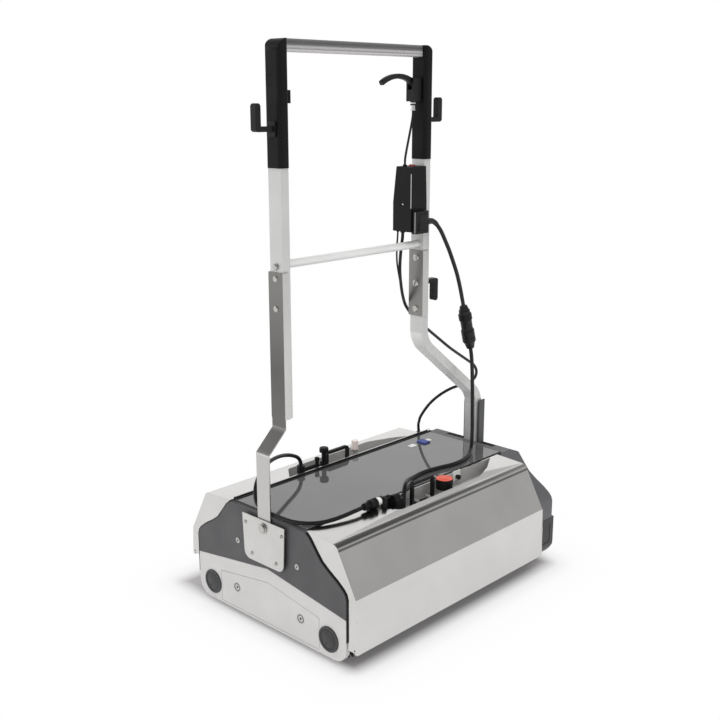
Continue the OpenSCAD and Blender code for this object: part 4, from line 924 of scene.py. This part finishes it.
# Routes as in the CAD, in millimetres, from end to end. The bundle's last third keeps a
# little further from the rear tank
UPPER_ROUTE = [
    (112.6, -34.5, 811), (119, -34.7, 810.6), (130, -36.5, 804.5), (143, -40, 788), (156, -42, 766),
    (169, -44, 742), (182, -45, 716), (195, -46, 688), (206, -46, 660), (214.5, -46, 634),
    (221.4, -46, 611.6),
]
HANGING_ROUTE = [
    (252.1, -46, 506.1), (257, -46, 484), (261, -46, 450), (264, -46, 400), (266, -46, 350),
    (266, -47, 315), (262, -50, 292), (252, -57, 273), (240.5, -63.7, 265.1),
    (228.4, -70.8, 263.05),
]
LID_ROUTE = [
    (228, -71, 263), (217, -77.5, 262), (203, -84, 262), (185, -90, 262), (158, -95, 262),
    (127, -93, 262), (98, -86, 262), (67, -81, 262), (38, -80, 262), (10, -85, 262.4),
    (-8, -90.5, 265.2), (-25, -98.8, 268.4), (-41.6, -108.6, 270.2), (-49.7, -113.8, 269.2),
    (-57.3, -118.7, 265.8), (-63.9, -123.1, 260), (-68.8, -126.6, 252.2), (-72, -128.6, 243.2),
]
REAR_HOSE_ROUTE = [
    (-131, 125.5, 274.8), (-132.6, 125.5, 284.5), (-141, 124.5, 295.5), (-159, 122, 305.5),
    (-182, 117, 313.5), (-208, 108, 320), (-238, 96, 324), (-268, 82, 324.5), (-294, 69, 319),
    (-313, 59, 309), (-325, 52, 297), (-333, 44, 284), (-338, 34, 272), (-340, 20, 264.5),
    (-340, 4, 262), (-340, -10, 262),
]
FRONT_HOSE_ROUTE = [
    (-340, -10, 262), (-340, -30, 262), (-340, -52, 262), (-336, -76, 262), (-324, -98, 262),
    (-305, -114, 262), (-280, -123, 262.5), (-250, -128, 264), (-220, -130, 266),
    (-196.3, -130, 266.3),
]
BUNDLE_ROUTE = [
    (80, 15, 784.6), (79, 15, 772), (75, 15, 750), (72, 15, 722), (73, 16, 698), (80, 19, 670),
    (92, 24, 642), (109, 30, 617), (132, 32, 593), (162, 32, 568), (197, 32, 543),
    (235, 32, 516), (272, 32, 490), (310, 32, 466), (344, 32, 445), (368, 32, 429),
    (381.2, 33, 411), (378, 35, 394), (361, 38, 385), (336, 44, 382), (305, 54, 376),
    (281, 68, 362), (268, 84, 343), (266, 102, 320), (270.5, 119.5, 297), (280, 131.3, 282),
    (288, 140.4, 270.5), (293.5, 145, 259.5), (296, 146, 249),
]
THIN_ROUTE = [
    (64, 15, 787.6), (63, 15, 775), (61, 15, 750), (62, 15, 722), (67, 15, 698), (76, 16, 670),
    (88, 20, 645), (99, 25, 628),
]
LEVER_ROUTE = [
    (92, 0, 1043.9), (91.5, 0, 1032), (87, 0, 1013), (80, 0, 988), (73, 0, 963),
    (68.5, 0, 944), (68, 0, 932.1),
]


def smooth_line(route, steps=6):
    """Points in metres on a smooth curve through the route's points."""
    points = [Vector(p) * MM for p in route]
    line = []
    for i in range(len(points) - 1):
        a = points[max(i - 1, 0)]
        b, c = points[i], points[i + 1]
        d = points[min(i + 2, len(points) - 1)]
        for k in range(steps):
            t = k / steps
            line.append(
                0.5
                * (
                    2 * b
                    + (c - a) * t
                    + (2 * a - 5 * b + 4 * c - d) * t * t
                    + (3 * b - a - 3 * c + d) * t**3
                )
            )
    line.append(points[-1])
    return line


def length_of(line):
    """The length of a line of points, in its own unit."""
    return sum((b - a).length for a, b in zip(line, line[1:]))


def tube_along(line, diameter, sides=4, taper=None):
    """A round tube as a mesh along a line of points in metres. taper is a radius for each."""
    curve = bpy.data.curves.new("run", "CURVE")
    curve.dimensions = "3D"
    curve.bevel_depth = diameter / 2 * MM
    curve.bevel_resolution = sides
    curve.use_fill_caps = True
    spline = curve.splines.new("POLY")
    spline.points.add(len(line) - 1)
    for i, (point, place) in enumerate(zip(spline.points, line)):
        point.co = (*place, 1)
        if taper:
            point.radius = taper[i] * 2 / diameter
    obj = bpy.data.objects.new("run", curve)
    bpy.context.scene.collection.objects.link(obj)
    pick(obj)
    bpy.ops.object.convert(target="MESH")
    return smooth(bpy.context.object, 50)


def tell_cord(obj, line):
    tuple(line[0])
    length_of(line)
    [tuple(p) for p in line]


def cord_piece(
    name, node, route, diameter, bend=None
):
    """A cord that stands for its CAD solid. bend is (body, body, start, end); when it is given the
    cord rides on no body, and its bodies and ends are not used.
    """
    line = smooth_line(route)
    obj = tube_along(line, diameter)
    obj.name = obj.data.name = name
    obj.data.materials.append(cord_rubber)
    if bend:
        first, second, begin, end = bend
        m(*begin)
        m(*end)
        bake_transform(obj)
    else:
        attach(obj, body_holding(node))
    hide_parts(node)
    tell_cord(obj, line)


cord_piece(
    "upper_cord_run", "upper_cord", UPPER_ROUTE, 9,
)
cord_piece(
    "hanging_cord_run", "hanging_cord", HANGING_ROUTE, 9,
    bend=("handle", "chassis", HANGING_ROUTE[0], HANGING_ROUTE[-1]),
)
cord_piece(
    "lid_cord_run", "lid_cord", LID_ROUTE, 9,
    bend=("chassis", "front_tank", LID_ROUTE[10], LID_ROUTE[-1]),
)
cord_piece(
    "rear_hose_run", "rear_hose", REAR_HOSE_ROUTE, 8.5,
    bend=("rear_tank", "chassis", REAR_HOSE_ROUTE[0], REAR_HOSE_ROUTE[-1]),
)
cord_piece(
    "front_hose_run", "front_hose", FRONT_HOSE_ROUTE, 8.5,
    bend=("chassis", "front_tank", FRONT_HOSE_ROUTE[0], FRONT_HOSE_ROUTE[-1]),
)
cord_piece(
    "cable_bundle_run", "cable_bundle", BUNDLE_ROUTE, 7,
    bend=("handle", "chassis", BUNDLE_ROUTE[15], BUNDLE_ROUTE[-1]),
)
cord_piece("lever_cable_run", "lever_cable", LEVER_ROUTE, 5)

# Tapered strain relief where the lead leaves its plug, along the lead's first bend
RELIEF_POINTS, RELIEF_TAPER = 14, 0.11
relief_line = [m(98, -34.5, 811), m(103, -34.5, 811), m(108, -34.5, 811)]
relief_line += smooth_line(UPPER_ROUTE)[:RELIEF_POINTS]
relief_radii = [7.6, 7.4, 7.0] + [6.8 - RELIEF_TAPER * k for k in range(RELIEF_POINTS)]
finished(
    tube_along(relief_line, 12, 5, relief_radii),
    "plug_strain_relief",
    cord_rubber,
    "handle",
    slot_of("cord_plugs"),
)

# A control wire beside the bundle, which is in the bundle's node
THIN = 4
thin_line = smooth_line(THIN_ROUTE)
thin_cable = finished(
    tube_along(thin_line, THIN), "thin_cable_run", cord_rubber, "handle", slot_of("cable_bundle")
)
tell_cord(thin_cable, thin_line)


# Brushes: tufts of fine filaments round each core ------------------------------

BRUSH_R, CORE_R = 51, 24
TUFT_ROWS, TUFTS, TUFT_PITCH, TUFT_START = 16, 56, 10.2, -314
SLEEVE = 583
# A tuft's filaments: leans about X and Y in degrees, then the place on the core
FILAMENTS = (
    (0, 0, 0, 0), (2.5, 3, 1.6, 0.8), (-2, 4, 1.2, -1.5), (3, -4, -1.6, 1.1),
    (-3, -2.5, -1.1, -1.4),
)
# The mesh is cut this far above the floor, in metres
FLOOR_CUT = 0.00002


def filament(lean_x, lean_y, at_x, at_y):
    """One three-sided filament that stands on the core, turned and leaning a little."""
    deselect()
    bpy.ops.mesh.primitive_cone_add(
        vertices=3,
        radius1=0.9 * MM,
        radius2=0.6 * MM,
        depth=(BRUSH_R - CORE_R - 1) * MM,
        location=m(at_x, at_y, (BRUSH_R + CORE_R + 1) / 2),
        rotation=(lean_x, lean_y, lean_x * 9),
    )
    return apply_place(bpy.context.object)


def brush_filaments(side):
    """A brush's tufts in rows round the core, on a thin sleeve, cut flat at the floor."""
    strands = [filament(math.radians(a), math.radians(b), x, y) for a, b, x, y in FILAMENTS]
    tuft = joined(*strands)
    row = tuft.modifiers.new("row", "ARRAY")
    row.count = TUFTS
    row.use_relative_offset = False
    row.use_constant_offset = True
    row.constant_offset_displace = m(TUFT_PITCH, 0, 0)
    pick(tuft)
    bpy.ops.object.modifier_apply(modifier="row")
    rows = []
    for i in range(TUFT_ROWS):
        shift = TUFT_START + (i % 2) * TUFT_PITCH / 2
        turn = Matrix.Rotation(math.tau * i / TUFT_ROWS, 4, "X")
        rows.append(copied(tuft, (shift, side * AXLE_Y, AXLE_Z), turn))
    bpy.data.objects.remove(tuft)
    low, mid, high = CORE_R + 0.3, CORE_R + 2.4, CORE_R + 3
    sleeve = turned(
        (TUFT_START - 6, side * AXLE_Y, AXLE_Z),
        X,
        [(0, low), (0, mid), (1, high), (SLEEVE - 1, high), (SLEEVE, mid), (SLEEVE, low)],
        48,
    )
    brush = joined(*rows, sleeve)
    edit_all(brush)
    bpy.ops.mesh.bisect(
        plane_co=(0, 0, FLOOR_CUT), plane_no=Z, use_fill=True, clear_inner=True
    )
    bpy.ops.object.mode_set(mode="OBJECT")
    return smooth(brush, 40)


for side, word in ((-1, "front"), (1, "rear")):
    finished(
        brush_filaments(side),
        f"brush_filaments_{word}",
        bristle_nylon,
        f"brush_{word}",
        "bristle",
        f"bristles_{word}",
    )


# Studio -----------------------------------------------------------------------


def lamp(name, place, aim, size, power):
    """A soft box in metres and watts that mirrors don't show."""
    data = bpy.data.lights.new(name, "AREA")
    data.shape = "RECTANGLE"
    data.size, data.size_y = size
    data.energy = power
    obj = bpy.data.objects.new(name, data)
    bpy.context.scene.collection.objects.link(obj)
    obj.visible_glossy = False
    obj.location = place
    obj.rotation_euler = (Vector(place) - Vector(aim)).to_track_quat("Z", "Y").to_euler()


def maths(owner, operation, first, second):
    """A sum or product of two values."""
    return add(owner, "ShaderNodeMath", {0: first, 1: second}, operation=operation).outputs[0]


def vector_maths(owner, operation, *values, output="Vector"):
    """A sum, difference or measure of vectors."""
    links = dict(enumerate(values))
    return add(owner, "ShaderNodeVectorMath", links, operation=operation).outputs[output]


lamp("lamp_over", (-0.6, -0.9, 3.2), (0, 0, 0.4), (3.2, 3.2), 48)
lamp("lamp_left", (-3.2, 0.6, 1.8), (0, 0, 0.5), (2.4, 2.6), 24)
lamp("lamp_front", (0.4, -3.4, 1.6), (0, 0, 0.4), (2.6, 2.4), 18)
lamp("lamp_back", (1.8, 2.8, 2.2), (0, 0, 0.5), (2.6, 2.4), 16)

# The room: white to the camera, an even level for plain surfaces, and for metal and
# glass white round the horizon with a darker ceiling and a greyer front wall
WHITE, ROOM_LEVEL = grey(1.0), 0.56
world = bpy.data.worlds.new("studio_world")
bpy.context.scene.world = world
world.use_nodes = True
background = world.node_tree.nodes["Background"]
background.inputs["Color"].default_value = WHITE
ways = add(world, "ShaderNodeTexCoord").outputs["Generated"]
way = add(world, "ShaderNodeSeparateXYZ", {0: ways}).outputs
ceiling = ramp(world, way["Z"], [(0.5, WHITE), (0.66, grey(0.12))])
front_wall = between(world, way["Y"], 0.5, 1.0, -0.45, 0.2)
shine = maths(world, "MULTIPLY", ceiling, front_wall)
rays = add(world, "ShaderNodeLightPath").outputs
level = ROOM_LEVEL
for is_ray, strength in (
    (rays["Is Glossy Ray"], shine),
    (rays["Is Transmission Ray"], 1.0),
    (rays["Is Camera Ray"], 1.0),
):
    links = {0: is_ray, 2: level, 3: strength}
    level = add(world, "ShaderNodeMix", links, data_type="FLOAT").outputs[0]
world.node_tree.links.new(level, background.inputs["Strength"])

# The floor: pale paper that keeps the machine's shadow near by and fades to white further
# out, with a painted contact shadow darkening the paper next to the machine. The fade runs by
# the distance from a rectangle under the machine, in metres
FLOOR_SIZE, FLOOR_Z = 60, -0.0006
SHADOW_SHIFT, SHADOW_HALF = (0.0, -0.04, 0.0), (0.32, 0.262, 1.0)
SHADOW_FADE = ((0, 0.06), (0.04, 0.58), (0.08, 0.9), (0.16, 0.98), (1, 1))
PAPER, PAINTED_CONTACT_SHADOW, PAINTED_CONTACT_SHADOW_REACH = "f4f4f4", "c2bec0", 0.04
MIRRORED_GLOW = 0.5

deselect()
bpy.ops.mesh.primitive_plane_add(size=FLOOR_SIZE, location=(0, 0, FLOOR_Z))
floor = apply_place(bpy.context.object)
floor.name = "studio_floor"
paper = start("floor_paper", PAPER, 0.9, Specular_IOR_Level=0.1)
glow = add(paper, "ShaderNodeEmission", {"Color": WHITE, "Strength": 1.0})
floor_rays = add(paper, "ShaderNodeLightPath").outputs
shifted = vector_maths(paper, "ADD", own_place(paper), SHADOW_SHIFT)
outside = vector_maths(
    paper, "SUBTRACT", vector_maths(paper, "ABSOLUTE", shifted), SHADOW_HALF
)
clear_of = vector_maths(paper, "MAXIMUM", outside, (0.0, 0.0, 0.0))
spread = vector_maths(paper, "LENGTH", clear_of, output="Value")
fade = ramp(paper, spread, [(place, grey(share)) for place, share in SHADOW_FADE])
# Painted contact shadow: the paper's colour darkens towards the machine
two_tone(paper, spread, (PAINTED_CONTACT_SHADOW, PAPER), 0.0, PAINTED_CONTACT_SHADOW_REACH)
whiteness = maths(
    paper,
    "ADD",
    maths(paper, "MULTIPLY", floor_rays["Is Camera Ray"], fade),
    maths(paper, "MULTIPLY", floor_rays["Is Glossy Ray"], MIRRORED_GLOW),
)
lit = add(
    paper,
    "ShaderNodeMixShader",
    {0: whiteness, 1: shader_of(paper).outputs[0], 2: glow.outputs[0]},
)
paper.node_tree.links.new(
    lit.outputs[0], paper.node_tree.nodes["Material Output"].inputs["Surface"]
)
floor.data.materials.append(paper)
